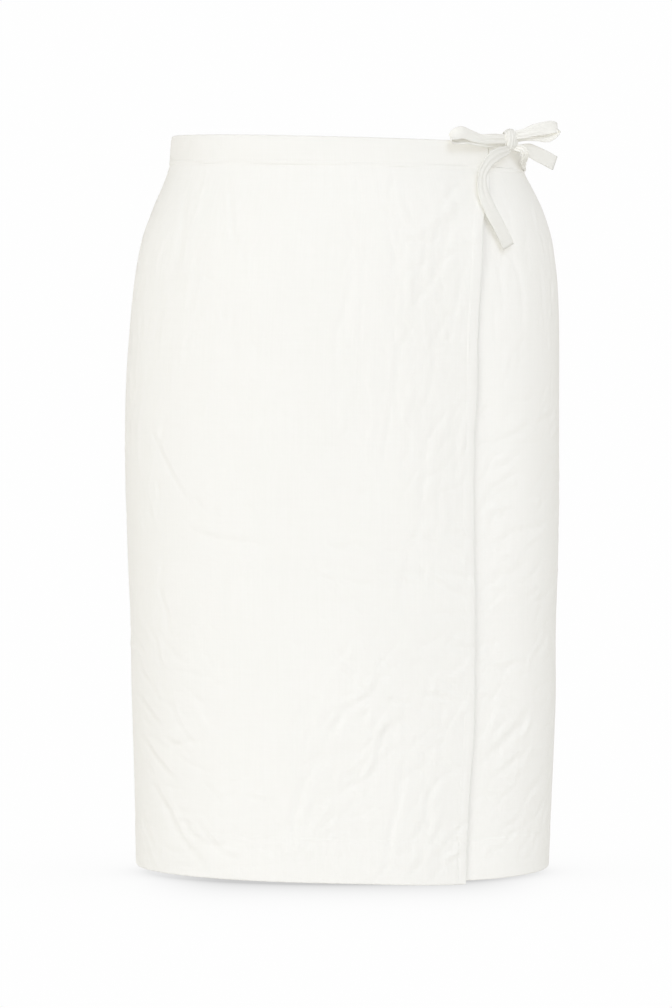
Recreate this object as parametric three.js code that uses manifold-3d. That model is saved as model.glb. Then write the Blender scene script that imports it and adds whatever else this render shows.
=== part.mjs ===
// Knee-length wrap skirt in white cotton, filled out as if worn, open and empty inside.
// Millimetres, +Z up. Seen from the front, +X is to the right and -Y is towards the viewer.
// The origin is the centre of the waist opening, level with the waistband's top edge.
//
// A place on the cloth is given by three lengths. around runs from the centre front towards +X,
// measured along the hip line. drop runs down from the waistband's top edge. out is the distance
// outside the skirt's form.

import * as THREE from 'three';
import Module from 'manifold-3d';
import { mergeVertices } from 'three/addons/utils/BufferGeometryUtils.js';

const LENGTH = 640; // waistband's top edge to the wrap's hem
const WAISTBAND = 25;
const HEM = 38; // depth of the turned hem
const EDGE_TURN = 10; // width of the wrap's turned free edge
const TIE = 12; // width of a tie
const TIE_OPEN = 13.2; // and where its fold has opened a little, at a free end
const HIP_DROP = 230; // where around is measured
const HIP_STEPS = 720; // steps that measure the hip line, a multiple of four
const UNDER_END = -60; // around where the under front stops beneath the wrap
const UNDER_SHORT = 3; // how much shorter the under front is than the wrap
const BACK_SHORT = 1;
const WAIST_TILT = 0.0263; // fall of the waist for each millimetre towards +X
const TILT_FADE = 110; // drop by which the tilt has died out

const CLOTH = 1.5; // thickness of a panel's wall
const BAND_CLOTH = 2.6; // thickness of a waistband's wall
const BAND_BULGE = 2.8; // and at its middle, where it is fullest
const TIE_CLOTH = 1.2; // thickness of a pressed and stitched tie
const SEAM = 0.3; // gap between pieces that are sewn together
const LAYER = 1; // gap between the wrap and what lies beneath it
const TURN_PROUD = 0.4; // how far turned cloth stands proud of a single layer
const BAND_PROUD = 0.3;
const BAND_EDGE = 1.2; // drop over which a waistband's top edge is rounded
const MERGE = 1e-4; // corners closer than this are one

const SQUARE = 2.25; // exponent of the sections, where 2 gives an ellipse

// The form's horizontal sections: half its width, its depths before and behind the waist's
// centre line, and its shift towards +X.
const SECTIONS = [
  { drop: 0, half: 151.8, front: 101, back: 99, shift: 1.9 },
  { drop: 25, half: 155.9, front: 103.5, back: 103.5, shift: 3.7 },
  { drop: 40, half: 162, front: 107, back: 110, shift: 4.7 },
  { drop: 60, half: 170.9, front: 110.5, back: 118, shift: 4.5 },
  { drop: 90, half: 180.4, front: 114, back: 126.5, shift: 3.2 },
  { drop: 140, half: 186.9, front: 117.5, back: 133.5, shift: 1.9 },
  { drop: 230, half: 190.5, front: 119, back: 134, shift: -0.6 },
  { drop: 360, half: 189.4, front: 118.5, back: 127, shift: 0 },
  { drop: 430, half: 187, front: 117.7, back: 123.9, shift: 0.5 },
  { drop: 500, half: 186.2, front: 117, back: 121, shift: 1 },
  { drop: 640, half: 181.7, front: 115, back: 117, shift: -0.6 },
];

// How far the hem hangs above its own level, from the left side seam all round to it again.
const HEM_RISE = [
  { around: -252, up: 4.6 },
  { around: -200, up: 4.6 },
  { around: -150, up: 3.6 },
  { around: -60, up: 1.6 },
  { around: 20, up: 0 },
  { around: 90, up: -2 },
  { around: 150, up: -1.8 },
  { around: 210, up: 0 },
  { around: 252, up: 1.4 },
  { around: 400, up: 1 },
  { around: 640, up: 2 },
  { around: 778, up: 4.6 },
];
const RISE_FROM = 300; // drop where that begins

// The wrap's free edge.
const FREE_EDGE = [
  { drop: 0, around: 158 },
  { drop: 27, around: 150.5 },
  { drop: 65, around: 128.3 },
  { drop: 107, around: 122.1 },
  { drop: 162, around: 117.6 },
  { drop: 226, around: 117.5 },
  { drop: 260, around: 115.2 },
  { drop: 363, around: 115 },
  { drop: 398, around: 116.2 },
  { drop: 484, around: 116.2 },
  { drop: 518, around: 115.8 },
  { drop: 570, around: 113 },
  { drop: 640, around: 112.7 },
];

// How far the free edge stands off the under front.
const GAPE = [
  { drop: 25, out: 0 },
  { drop: 60, out: 3.4 },
  { drop: 90, out: 3.6 },
  { drop: 150, out: 1.2 },
  { drop: 300, out: 0.6 },
  { drop: 640, out: 0.8 },
];
const GAPE_REACH = 18;
const FOLD_FADE = 0.7; // below 1, a fold keeps its depth nearer to its ends

// The largest folds, each from one place to another. bow is how far its middle lies to the side,
// width is the half width of the fold, and depth is below zero for a trough.
const FOLDS = [
  { around: -172, drop: 46, toAround: -160, toDrop: 123, bow: 5, width: 12, depth: -2.7 },
  { around: -173, drop: 120, toAround: -181, toDrop: 200, bow: 0, width: 12, depth: -2.4 },
  { around: -123, drop: 27, toAround: -99, toDrop: 119, bow: 0, width: 10, depth: -1.6 },
  { around: -1, drop: 38, toAround: -2, toDrop: 226, bow: -4, width: 11, depth: -1.8 },
  { around: 126, drop: 40, toAround: 57, toDrop: 88, bow: 3, width: 11, depth: 2.4 },
  { around: 97, drop: 63, toAround: 58, toDrop: 147, bow: -4, width: 12, depth: -2.3 },
  { around: 105, drop: 236, toAround: 99, toDrop: 290, bow: 3, width: 10, depth: -2 },
  { around: 92, drop: 232, toAround: 72, toDrop: 262, bow: 0, width: 10, depth: -2.3 },
  { around: 73, drop: 255, toAround: 71, toDrop: 335, bow: 3, width: 11, depth: -2.4 },
  { around: 60, drop: 361, toAround: 112, toDrop: 396, bow: 2, width: 10, depth: -3 },
  { around: -1, drop: 379, toAround: 30, toDrop: 382, bow: 0, width: 10, depth: -1.9 },
  { around: 33, drop: 458, toAround: -14, toDrop: 520, bow: 5, width: 11, depth: -3.2 },
  { around: -14, drop: 524, toAround: -45, toDrop: 612, bow: -7, width: 12, depth: -3.5 },
  { around: 25, drop: 518, toAround: 2, toDrop: 563, bow: -3, width: 11, depth: -2.4 },
  { around: 103, drop: 540, toAround: 78, toDrop: 602, bow: 9, width: 11, depth: -2.7 },
  { around: 54, drop: 540, toAround: 38, toDrop: 630, bow: 0, width: 11, depth: -2.4 },
  { around: -204, drop: 487, toAround: -172, toDrop: 513, bow: 2, width: 10, depth: -2.7 },
  { around: -203, drop: 522, toAround: -154, toDrop: 561, bow: 3, width: 11, depth: -3.8 },
  { around: -192, drop: 560, toAround: -124, toDrop: 631, bow: 3, width: 12, depth: -4.1 },
  { around: -155, drop: 581, toAround: -113, toDrop: 614, bow: 4, width: 11, depth: -2.7 },
  { around: -180, drop: 249, toAround: -134, toDrop: 317, bow: 0, width: 10, depth: -2.7 },
  { around: -141, drop: 333, toAround: -68, toDrop: 349, bow: 3, width: 10, depth: -2.2 },
  { around: -176, drop: 385, toAround: -161, toDrop: 436, bow: -3, width: 10, depth: -2.2 },
  { around: 118, drop: 276, toAround: 176, toDrop: 246, bow: 2, width: 10, depth: -2.2 },
  { around: 118, drop: 320, toAround: 166, toDrop: 284, bow: 2, width: 11, depth: -3 },
  { around: 126, drop: 340, toAround: 148, toDrop: 310, bow: 0, width: 10, depth: -2.7 },
  { around: 139, drop: 352, toAround: 200, toDrop: 336, bow: 3, width: 11, depth: -2.4 },
  { around: 139, drop: 383, toAround: 176, toDrop: 360, bow: 0, width: 10, depth: -2.4 },
  { around: 122, drop: 466, toAround: 178, toDrop: 453, bow: 3, width: 11, depth: -2.4 },
  { around: 119, drop: 541, toAround: 179, toDrop: 490, bow: 3, width: 12, depth: -4.1 },
  { around: 144, drop: 83, toAround: 164, toDrop: 168, bow: -6, width: 11, depth: -2.2 },
  { around: 236, drop: 150, toAround: 228, toDrop: 330, bow: 4, width: 13, depth: -2.2 },
  { around: 300, drop: 40, toAround: 312, toDrop: 135, bow: 4, width: 12, depth: -2.4 },
  { around: 405, drop: 27, toAround: 428, toDrop: 150, bow: 0, width: 11, depth: -1.8 },
  { around: 628, drop: 27, toAround: 603, toDrop: 146, bow: 0, width: 11, depth: -1.8 },
  { around: 735, drop: 44, toAround: 716, toDrop: 150, bow: -5, width: 12, depth: -2.6 },
  { around: 330, drop: 262, toAround: 402, toDrop: 318, bow: 4, width: 11, depth: -3.1 },
  { around: 356, drop: 350, toAround: 452, toDrop: 402, bow: -5, width: 12, depth: -2.7 },
  { around: 520, drop: 255, toAround: 516, toDrop: 350, bow: 4, width: 12, depth: -2.4 },
  { around: 706, drop: 288, toAround: 634, toDrop: 330, bow: 5, width: 11, depth: -3 },
  { around: 690, drop: 372, toAround: 590, toDrop: 420, bow: 5, width: 12, depth: -2.7 },
  { around: 742, drop: 500, toAround: 668, toDrop: 560, bow: -4, width: 12, depth: -3.5 },
  { around: 612, drop: 470, toAround: 566, toDrop: 560, bow: -6, width: 12, depth: -3.1 },
  { around: 300, drop: 492, toAround: 368, toDrop: 556, bow: 4, width: 12, depth: -3.6 },
  { around: 398, drop: 520, toAround: 446, toDrop: 616, bow: 6, width: 12, depth: -3.1 },
  { around: 500, drop: 540, toAround: 494, toDrop: 630, bow: 3, width: 12, depth: -2.7 },
];

// The knot, a squeezed ball of cloth: its height above its centre and its radius there.
const KNOT_CENTRE = new THREE.Vector3(143.6, -54.7, -1.3);
const KNOT_RINGS = [
  { height: -10.2, radius: 0 },
  { height: -9.8, radius: 2.2 },
  { height: -8, radius: 3.6 },
  { height: -4, radius: 4.6 },
  { height: 1, radius: 5.6 },
  { height: 5.5, radius: 5.4 },
  { height: 8.4, radius: 4 },
  { height: 9.6, radius: 2 },
  { height: 9.9, radius: 0 },
];
const KNOT_SIDES = 14;

// Each strip of the bow runs through its rows. lean turns its width from upright, at 0 degrees,
// to pointing at the viewer, at 90.
const LOOP_LEFT = [
  { x: 142.8, y: -56.6, z: -0.6, width: 8, lean: 0 },
  { x: 131.2, y: -67.4, z: -0.8, width: 9.4, lean: 6 },
  { x: 119.2, y: -78.4, z: -1.2, width: 9.2, lean: 34 },
  { x: 109.6, y: -85.6, z: 1.5, width: TIE, lean: 32 },
  { x: 102.2, y: -90.4, z: 3.8, width: TIE, lean: 28 },
  { x: 95.6, y: -93.6, z: 1.6, width: TIE, lean: 38 },
  { x: 92.4, y: -94, z: -1.2, width: TIE, lean: 58 },
  { x: 97.2, y: -90.6, z: -3.3, width: TIE, lean: 66 },
  { x: 107, y: -85.6, z: -3.4, width: TIE, lean: 66 },
  { x: 118, y: -76.8, z: -3.9, width: 11, lean: 56 },
  { x: 131, y: -63.4, z: -3.6, width: 8, lean: 24 },
  { x: 142, y: -53.6, z: -1, width: 6.5, lean: 0 },
];

const LOOP_RIGHT = [
  { x: 144.6, y: -53.6, z: -1.6, width: 6, lean: 6 },
  { x: 156, y: -46.8, z: 1.8, width: 7.2, lean: 12 },
  { x: 167, y: -42.2, z: 3, width: 10, lean: 22 },
  { x: 177.4, y: -37.8, z: 3.1, width: TIE, lean: 26 },
  { x: 186.4, y: -34.8, z: 9.8, width: TIE, lean: 44 },
  { x: 183.6, y: -37.6, z: 10.8, width: TIE, lean: 34 },
  { x: 175.4, y: -42.2, z: 9.6, width: TIE, lean: 18 },
  { x: 166.4, y: -46.4, z: 7.8, width: 10.8, lean: 16 },
  { x: 156.6, y: -50.6, z: 4.6, width: 8.6, lean: 14 },
  { x: 145, y: -54.8, z: 2.8, width: 6.5, lean: 0 },
];

const TAIL_RIGHT = [
  { x: 144.4, y: -53, z: -6.8, width: 4.5, lean: 0 },
  { x: 152.4, y: -45.6, z: -8.2, width: 7, lean: 0 },
  { x: 161, y: -40.6, z: -9.2, width: 11.4, lean: 2 },
  { x: 171.4, y: -36, z: -13.8, width: TIE_OPEN, lean: 4 },
  { x: 184.9, y: -29.6, z: -20.4, width: TIE_OPEN, lean: 6 },
];

// The tie from the side seam folds over in front of it. Below 0, lean turns its width the other way.
const TIE_SIDE = [
  { x: 144, y: -54, z: -5.4, width: 5, lean: 0, yaw: 0 },
  { x: 150, y: -52.6, z: -7.5, width: 5.8, lean: 0, yaw: 0 },
  { x: 155, y: -50.8, z: -9, width: 6.8, lean: -30, yaw: 0 },
  { x: 158, y: -47.6, z: -12.8, width: 7.6, lean: -62, yaw: 0 },
  { x: 157, y: -42, z: -18, width: 7.8, lean: -58, yaw: 0 },
  { x: 157.8, y: -31, z: -21.4, width: 8, lean: -27, yaw: 0 },
  { x: 159.6, y: -16, z: -22, width: 9.4, lean: -8, yaw: 0 },
  { x: 160, y: -3.4, z: -21, width: 11, lean: 0, yaw: 0 },
];

// The hanging tail lies off the cloth, and the wrap's own tie runs from its waistband to the knot.
const TAIL_LEFT = [
  { around: 184, drop: 4.5, out: 7.2, width: 5 },
  { around: 171, drop: 7.4, out: 9.4, width: 8.4 },
  { around: 157.5, drop: 11, out: 9.4, width: 11 },
  { around: 146.4, drop: 18, out: 7.4, width: 10.6 },
  { around: 137.4, drop: 27.6, out: 6, width: 9.2 },
  { around: 131.2, drop: 39, out: 5.6, width: 10 },
  { around: 130.6, drop: 51.2, out: 6.2, width: 11.6 },
  { around: 134.6, drop: 64.3, out: 6.4, width: TIE },
  { around: 141.2, drop: 78, out: 6, width: TIE },
  { around: 148.6, drop: 93.8, out: 5.4, width: TIE },
];

const TIE_FRONT = [
  { around: 156.7, drop: 10.6, out: -0.8, width: 11 },
  { around: 163.6, drop: 11.2, out: 1.1, width: 8.6 },
  { around: 170, drop: 9.9, out: 3.2, width: 6.4 },
  { around: 177, drop: 7, out: 5.1, width: 5 },
  { around: 184, drop: 3.5, out: 6.7, width: 4 },
];

const CLOTH_COLOUR = 0xf7f6f1;
const BAND_COLOUR = 0xf5f3ee;
const TIE_COLOUR = 0xf3f1ea;
const CLOTH_ROUGHNESS = 0.85;

const COLUMN_STEP = 11; // spacing of a front panel's grid lines, along around
const BACK_STEP = 17.5;
const BAND_STEP = 13;
const ROW_STEP = 28; // spacing of a panel's grid lines, along drop
const LAST_STRAIGHT = 8 * COLUMN_STEP; // beyond this line the wrap's grid follows its free edge
const TURN_STEP = 1; // width of the step where cloth is turned
const STRIP_STEPS = 3; // steps from one row of a strip to the next

// Slope of column y against column x at one row of a table.
function slope(rows, x, y, index) {
  const before = rows[Math.max(index - 1, 0)];
  const after = rows[Math.min(index + 1, rows.length - 1)];
  return (after[y] - before[y]) / (after[x] - before[x]);
}

// Column y of a table read at a value of column x, on a smooth curve through the rows.
function read(rows, x, y, at) {
  const last = rows.length - 1;
  if (at <= rows[0][x]) return rows[0][y];
  if (at >= rows[last][x]) return rows[last][y];
  const index = rows.findIndex((row) => row[x] > at) - 1;
  const step = rows[index + 1][x] - rows[index][x];
  const t = (at - rows[index][x]) / step;
  const start = rows[index][y];
  const rise = rows[index + 1][y] - start;
  const leave = slope(rows, x, y, index) * step;
  const arrive = slope(rows, x, y, index + 1) * step;
  return start + t * leave + t * t * (3 * rise - 2 * leave - arrive)
    + t * t * t * (leave + arrive - 2 * rise);
}

// The form's point and outward normal at a turn about the waist's centre, zero at the front.
function section(turn, drop) {
  const half = read(SECTIONS, 'drop', 'half', drop);
  const depth = read(SECTIONS, 'drop', Math.cos(turn) > 0 ? 'front' : 'back', drop);
  const sideways = Math.sin(turn) / half;
  const forward = Math.cos(turn) / depth;
  const sum = Math.abs(sideways) ** SQUARE + Math.abs(forward) ** SQUARE;
  const radius = sum ** (-1 / SQUARE);
  const normal = new THREE.Vector3(
    Math.sign(sideways) * Math.abs(sideways) ** (SQUARE - 1) / half,
    -Math.sign(forward) * Math.abs(forward) ** (SQUARE - 1) / depth,
    0,
  ).normalize();
  const shift = read(SECTIONS, 'drop', 'shift', drop);
  const point = new THREE.Vector3(radius * Math.sin(turn) + shift, -radius * Math.cos(turn), -drop);
  return { point, normal };
}

// The hip line as rows of turn and around, for half a turn each way.
function measureHipLine() {
  const rows = [{ turn: -Math.PI, around: 0 }];
  let before = section(-Math.PI, HIP_DROP).point;
  for (let i = 1; i <= HIP_STEPS; i += 1) {
    const turn = -Math.PI + 2 * Math.PI * i / HIP_STEPS;
    const { point } = section(turn, HIP_DROP);
    rows.push({ turn, around: rows[i - 1].around + point.distanceTo(before) });
    before = point;
  }
  const centre = rows[HIP_STEPS / 2].around;
  return rows.map(({ turn, around }) => ({ turn, around: around - centre }));
}

const HIP_LINE = measureHipLine();
const HIP_GIRTH = HIP_LINE.at(-1).around - HIP_LINE[0].around;
const SIDE = HIP_LINE[HIP_STEPS * 3 / 4].around; // around of the right side seam

function turnAt(around) {
  const laps = Math.round(around / HIP_GIRTH);
  const place = around - laps * HIP_GIRTH;
  const index = THREE.MathUtils.clamp(
    HIP_LINE.findIndex((row) => row.around > place), 1, HIP_LINE.length - 1,
  );
  const [before, after] = [HIP_LINE[index - 1], HIP_LINE[index]];
  const share = (place - before.around) / (after.around - before.around);
  return before.turn + share * (after.turn - before.turn) + laps * 2 * Math.PI;
}

// The point at a place on the cloth.
function clothPoint(around, drop, out) {
  const { point, normal } = section(turnAt(around), drop);
  const tilt = WAIST_TILT * point.x * (1 - THREE.MathUtils.smoothstep(drop, 0, TILT_FADE));
  const rise = read(HEM_RISE, 'around', 'up', around) * THREE.MathUtils.smoothstep(drop, RISE_FROM, LENGTH);
  return point.addScaledVector(normal, out).add(new THREE.Vector3(0, 0, rise - tilt));
}

// How far the folds move the cloth out at a place.
function foldLift(around, drop) {
  let lift = 0;
  for (const fold of FOLDS) {
    const laps = Math.round((around - fold.around) / HIP_GIRTH);
    const run = new THREE.Vector2(fold.toAround - fold.around, fold.toDrop - fold.drop);
    const reach = run.length();
    run.normalize();
    const from = new THREE.Vector2(around - laps * HIP_GIRTH - fold.around, drop - fold.drop);
    const share = from.dot(run) / reach;
    if (share <= 0 || share >= 1) continue;
    const aside = from.cross(run) - fold.bow * 4 * share * (1 - share);
    const fade = Math.sin(Math.PI * share) ** FOLD_FADE;
    lift += fold.depth * fade * Math.exp(-((aside / fold.width) ** 2));
  }
  return lift;
}

function edgeAt(drop) {
  return read(FREE_EDGE, 'drop', 'around', drop);
}

// How far the wrap lifts towards its free edge.
function gapeLift(around, drop) {
  const inside = Math.max(edgeAt(drop) - around, 0);
  return read(GAPE, 'drop', 'out', drop) * Math.exp(-((inside / GAPE_REACH) ** 2));
}

// How far a layer beneath the wrap lies inside the form, from the right side seam to the edge.
function tuck(around, drop, depth) {
  return -depth * (1 - THREE.MathUtils.smoothstep(around, edgeAt(drop) + SEAM, SIDE - SEAM));
}

// One closed body from two grids of points: outer faces out, inner faces in, and rims join them.
function closeGrids(outer, inner) {
  const rows = outer.length;
  const columns = outer[0].length;
  const positions = [...outer.flat(), ...inner.flat()].flatMap((point) => point.toArray());
  const index = [];
  const quad = (a, b, c, d) => index.push(a, b, c, a, c, d);
  const at = (face, row, column) => (face * rows + row) * columns + column;
  for (let row = 0; row < rows - 1; row += 1) {
    for (let column = 0; column < columns - 1; column += 1) {
      quad(at(0, row, column), at(0, row + 1, column), at(0, row + 1, column + 1), at(0, row, column + 1));
      quad(at(1, row, column), at(1, row, column + 1), at(1, row + 1, column + 1), at(1, row + 1, column));
    }
  }
  const [bottom, right] = [rows - 1, columns - 1];
  for (let column = 0; column < right; column += 1) {
    quad(at(0, 0, column), at(0, 0, column + 1), at(1, 0, column + 1), at(1, 0, column));
    quad(at(0, bottom, column), at(1, bottom, column), at(1, bottom, column + 1), at(0, bottom, column + 1));
  }
  for (let row = 0; row < bottom; row += 1) {
    quad(at(0, row, 0), at(1, row, 0), at(1, row + 1, 0), at(0, row + 1, 0));
    quad(at(0, row, right), at(0, row + 1, right), at(1, row + 1, right), at(1, row, right));
  }
  const geometry = new THREE.BufferGeometry();
  geometry.setAttribute('position', new THREE.Float32BufferAttribute(positions, 3));
  geometry.setIndex(index);
  return geometry;
}

// A wall of cloth. columns are functions of drop that give around, rows are drops, out gives the
// outer face's distance from the form, and thick the wall's thickness at a drop.
function wall(columns, rows, out, thick) {
  const outer = [];
  const inner = [];
  for (const drop of rows) {
    const places = columns.map((column) => column(drop));
    outer.push(places.map((around) => clothPoint(around, drop, out(around, drop))));
    inner.push(places.map((around) => clothPoint(around, drop, out(around, drop) - thick(drop))));
  }
  return closeGrids(outer, inner);
}

// Evenly spaced values from one to another, both included.
function spread(from, to, step) {
  const count = Math.max(Math.round(Math.abs(to - from) / step), 1);
  return Array.from({ length: count + 1 }, (_, i) => from + (to - from) * i / count);
}

// The multiples of a step between two values, and not close to either.
function gridLines(from, to, step) {
  const first = Math.ceil(from / step + 1 / 3);
  const last = Math.floor(to / step - 1 / 3);
  return Array.from({ length: last - first + 1 }, (_, i) => (first + i) * step);
}

// Columns that keep their around at every drop.
function straight(places) {
  return places.map((place) => () => place);
}

// The drops of a panel's grid, with a short step where its hem is turned up.
function panelRows(bottom) {
  const top = WAISTBAND + SEAM / 2;
  const turned = LENGTH - HEM;
  return [...spread(top, turned - TURN_STEP, ROW_STEP), turned, (turned + bottom) / 2, bottom];
}

function hemProud(drop) {
  return drop >= LENGTH - HEM ? TURN_PROUD : 0;
}

function frontWrap() {
  const start = -SIDE + SEAM / 2;
  const regular = straight([start, ...gridLines(start, LAST_STRAIGHT, COLUMN_STEP), LAST_STRAIGHT]);
  const towardsTurn = [1, 2, 3].map((third) => (drop) => (
    THREE.MathUtils.lerp(LAST_STRAIGHT, edgeAt(drop) - EDGE_TURN - TURN_STEP, third / 3)
  ));
  const turned = [(drop) => edgeAt(drop) - EDGE_TURN, edgeAt];
  const out = (around, drop) => {
    const edgeProud = around >= edgeAt(drop) - EDGE_TURN ? TURN_PROUD : 0;
    return foldLift(around, drop) + gapeLift(around, drop) + Math.max(hemProud(drop), edgeProud);
  };
  return wall([...regular, ...towardsTurn, ...turned], panelRows(LENGTH), out, () => CLOTH);
}

function frontUnder() {
  const end = SIDE - SEAM / 2;
  const places = [UNDER_END, ...gridLines(UNDER_END, end, COLUMN_STEP), end];
  const out = (around, drop) => {
    const covered = tuck(around, drop, CLOTH + LAYER);
    return foldLift(around, drop) + covered + hemProud(drop) * (1 + covered / (CLOTH + LAYER));
  };
  return wall(straight(places), panelRows(LENGTH - UNDER_SHORT), out, () => CLOTH);
}

function backPanel() {
  const places = spread(SIDE + SEAM / 2, HIP_GIRTH - SIDE - SEAM / 2, BACK_STEP);
  const out = (around, drop) => foldLift(around, drop) + hemProud(drop);
  return wall(straight(places), panelRows(LENGTH - BACK_SHORT), out, () => CLOTH);
}

// A waistband is a folded strip with a rounded top edge.
const BAND_ROWS = [
  { drop: 0, thick: BAND_CLOTH / 2 },
  { drop: BAND_EDGE, thick: BAND_CLOTH },
  { drop: WAISTBAND / 2, thick: BAND_BULGE },
  { drop: WAISTBAND - SEAM / 2, thick: BAND_CLOTH },
];

function waistband(places, layerOut) {
  const thick = (drop) => BAND_ROWS.find((row) => row.drop === drop).thick;
  const out = (around, drop) => (
    BAND_PROUD + layerOut(around, drop) - (BAND_CLOTH - thick(drop)) / 2
  );
  return wall(places, BAND_ROWS.map((row) => row.drop), out, thick);
}

function waistbandFront() {
  const start = -SIDE + SEAM / 2;
  const regular = straight([start, ...gridLines(start, edgeAt(WAISTBAND), BAND_STEP)]);
  return waistband([...regular, edgeAt], () => 0);
}

function waistbandUnder() {
  const end = SIDE - SEAM / 2;
  const places = [UNDER_END, ...gridLines(UNDER_END, end, BAND_STEP), end];
  return waistband(straight(places), (around, drop) => tuck(around, drop, BAND_BULGE + LAYER));
}

function waistbandBack() {
  const places = spread(SIDE + SEAM / 2, HIP_GIRTH - SIDE - SEAM / 2, BACK_STEP);
  return waistband(straight(places), () => 0);
}

// The knot as a closed shape turned about its upright axis, grown by a margin.
function knotGeometry(margin) {
  const reach = Math.max(...KNOT_RINGS.map((ring) => Math.abs(ring.height)));
  const profile = KNOT_RINGS.map(({ height, radius }) => new THREE.Vector2(
    radius > 0 ? radius + margin : 0,
    height * (1 + margin / reach),
  ));
  const geometry = new THREE.LatheGeometry(profile, KNOT_SIDES);
  geometry.rotateX(Math.PI / 2);
  geometry.translate(...KNOT_CENTRE.toArray());
  return joined(geometry);
}

// The same geometry with shared corners and no collapsed triangles.
function joined(geometry) {
  const bare = new THREE.BufferGeometry();
  bare.setAttribute('position', geometry.getAttribute('position'));
  if (geometry.index) bare.setIndex(geometry.index);
  const merged = mergeVertices(bare, MERGE);
  const kept = [];
  const corners = merged.index.array;
  for (let i = 0; i < corners.length; i += 3) {
    const [a, b, c] = corners.slice(i, i + 3);
    if (a !== b && b !== c && c !== a) kept.push(a, b, c);
  }
  merged.setIndex(kept);
  return merged;
}

const wasm = await Module();
wasm.setup();

function toSolid(geometry) {
  const merged = joined(geometry);
  return new wasm.Manifold(new wasm.Mesh({
    numProp: 3,
    vertProperties: new Float32Array(merged.getAttribute('position').array),
    triVerts: new Uint32Array(merged.index.array),
  }));
}

function fromSolid(solid) {
  const mesh = solid.getMesh();
  const geometry = new THREE.BufferGeometry();
  geometry.setAttribute('position', new THREE.Float32BufferAttribute(mesh.vertProperties, 3));
  geometry.setIndex(Array.from(mesh.triVerts));
  return geometry;
}

// A flat strip swept through rows of centre, width and the direction of its width.
function strip(rows) {
  const path = new THREE.CatmullRomCurve3(rows.map((row) => row.centre), false, 'centripetal');
  const steps = (rows.length - 1) * STRIP_STEPS;
  const outer = [];
  const inner = [];
  for (let step = 0; step <= steps; step += 1) {
    const place = step / STRIP_STEPS;
    const index = Math.min(Math.floor(place), rows.length - 2);
    const share = place - index;
    const centre = path.getPoint(step / steps);
    const forward = path.getTangent(step / steps);
    const across = rows[index].across.clone().lerp(rows[index + 1].across, share);
    across.addScaledVector(forward, -across.dot(forward)).normalize();
    const face = forward.clone().cross(across).normalize().multiplyScalar(TIE_CLOTH / 2);
    const width = THREE.MathUtils.lerp(rows[index].width, rows[index + 1].width, share);
    const edges = [-width / 2, width / 2].map((side) => centre.clone().addScaledVector(across, side));
    outer.push(edges.map((edge) => edge.clone().add(face)));
    inner.push(edges.map((edge) => edge.clone().sub(face)));
  }
  return closeGrids(outer, inner);
}

// Rows of a free strip. Its width leans from upright to the direction of yaw, which is +X at
// 0 degrees and towards the viewer at 90.
function freeRows(rows) {
  return rows.map(({ x, y, z, width, lean, yaw = 90 }) => {
    const down = new THREE.Vector3(0, 0, -1);
    const leant = new THREE.Vector3(1, 0, 0).applyAxisAngle(down, THREE.MathUtils.degToRad(yaw));
    const angle = THREE.MathUtils.degToRad(lean);
    return {
      centre: new THREE.Vector3(x, y, z),
      across: down.multiplyScalar(Math.cos(angle)).addScaledVector(leant, Math.sin(angle)),
      width,
    };
  });
}

// Rows of a strip that lies off the cloth, with its width along the cloth.
function lyingRows(rows) {
  const centres = rows.map(({ around, drop, out }) => clothPoint(around, drop, out));
  return rows.map(({ around, drop, width }, i) => {
    const before = centres[Math.max(i - 1, 0)];
    const after = centres[Math.min(i + 1, rows.length - 1)];
    const { normal } = section(turnAt(around), drop);
    const across = normal.clone().cross(after.clone().sub(before)).normalize();
    return { centre: centres[i], across, width };
  });
}

// A strip whose ends stop just clear of the knot.
function tiedStrip(rows) {
  return fromSolid(toSolid(strip(rows)).subtract(toSolid(knotGeometry(SEAM))));
}

function named(name, geometry, colour) {
  const material = new THREE.MeshStandardMaterial({
    color: colour, roughness: CLOTH_ROUGHNESS, metalness: 0,
  });
  const mesh = new THREE.Mesh(geometry, material);
  mesh.name = name;
  return mesh;
}

const skirt = new THREE.Group();
skirt.name = 'wrap_skirt';
skirt.add(
  named('front_wrap', frontWrap(), CLOTH_COLOUR),
  named('front_under', frontUnder(), CLOTH_COLOUR),
  named('back', backPanel(), CLOTH_COLOUR),
  named('waistband_front', waistbandFront(), BAND_COLOUR),
  named('waistband_under', waistbandUnder(), BAND_COLOUR),
  named('waistband_back', waistbandBack(), BAND_COLOUR),
);

const bow = new THREE.Group();
bow.name = 'bow';
bow.add(
  named('tie_front', tiedStrip(lyingRows(TIE_FRONT)), TIE_COLOUR),
  named('tie_side', tiedStrip(freeRows(TIE_SIDE)), TIE_COLOUR),
  named('bow_knot', knotGeometry(0), TIE_COLOUR),
  named('bow_loop_left', tiedStrip(freeRows(LOOP_LEFT)), TIE_COLOUR),
  named('bow_loop_right', tiedStrip(freeRows(LOOP_RIGHT)), TIE_COLOUR),
  named('bow_tail_left', tiedStrip(lyingRows(TAIL_LEFT)), TIE_COLOUR),
  named('bow_tail_right', tiedStrip(freeRows(TAIL_RIGHT)), TIE_COLOUR),
);
skirt.add(bow);

export default skirt;
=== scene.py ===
"""Knee-length wrap skirt in white cotton, filled out as if worn: the finished look of each cloth piece."""

import math
from collections import namedtuple

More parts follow.
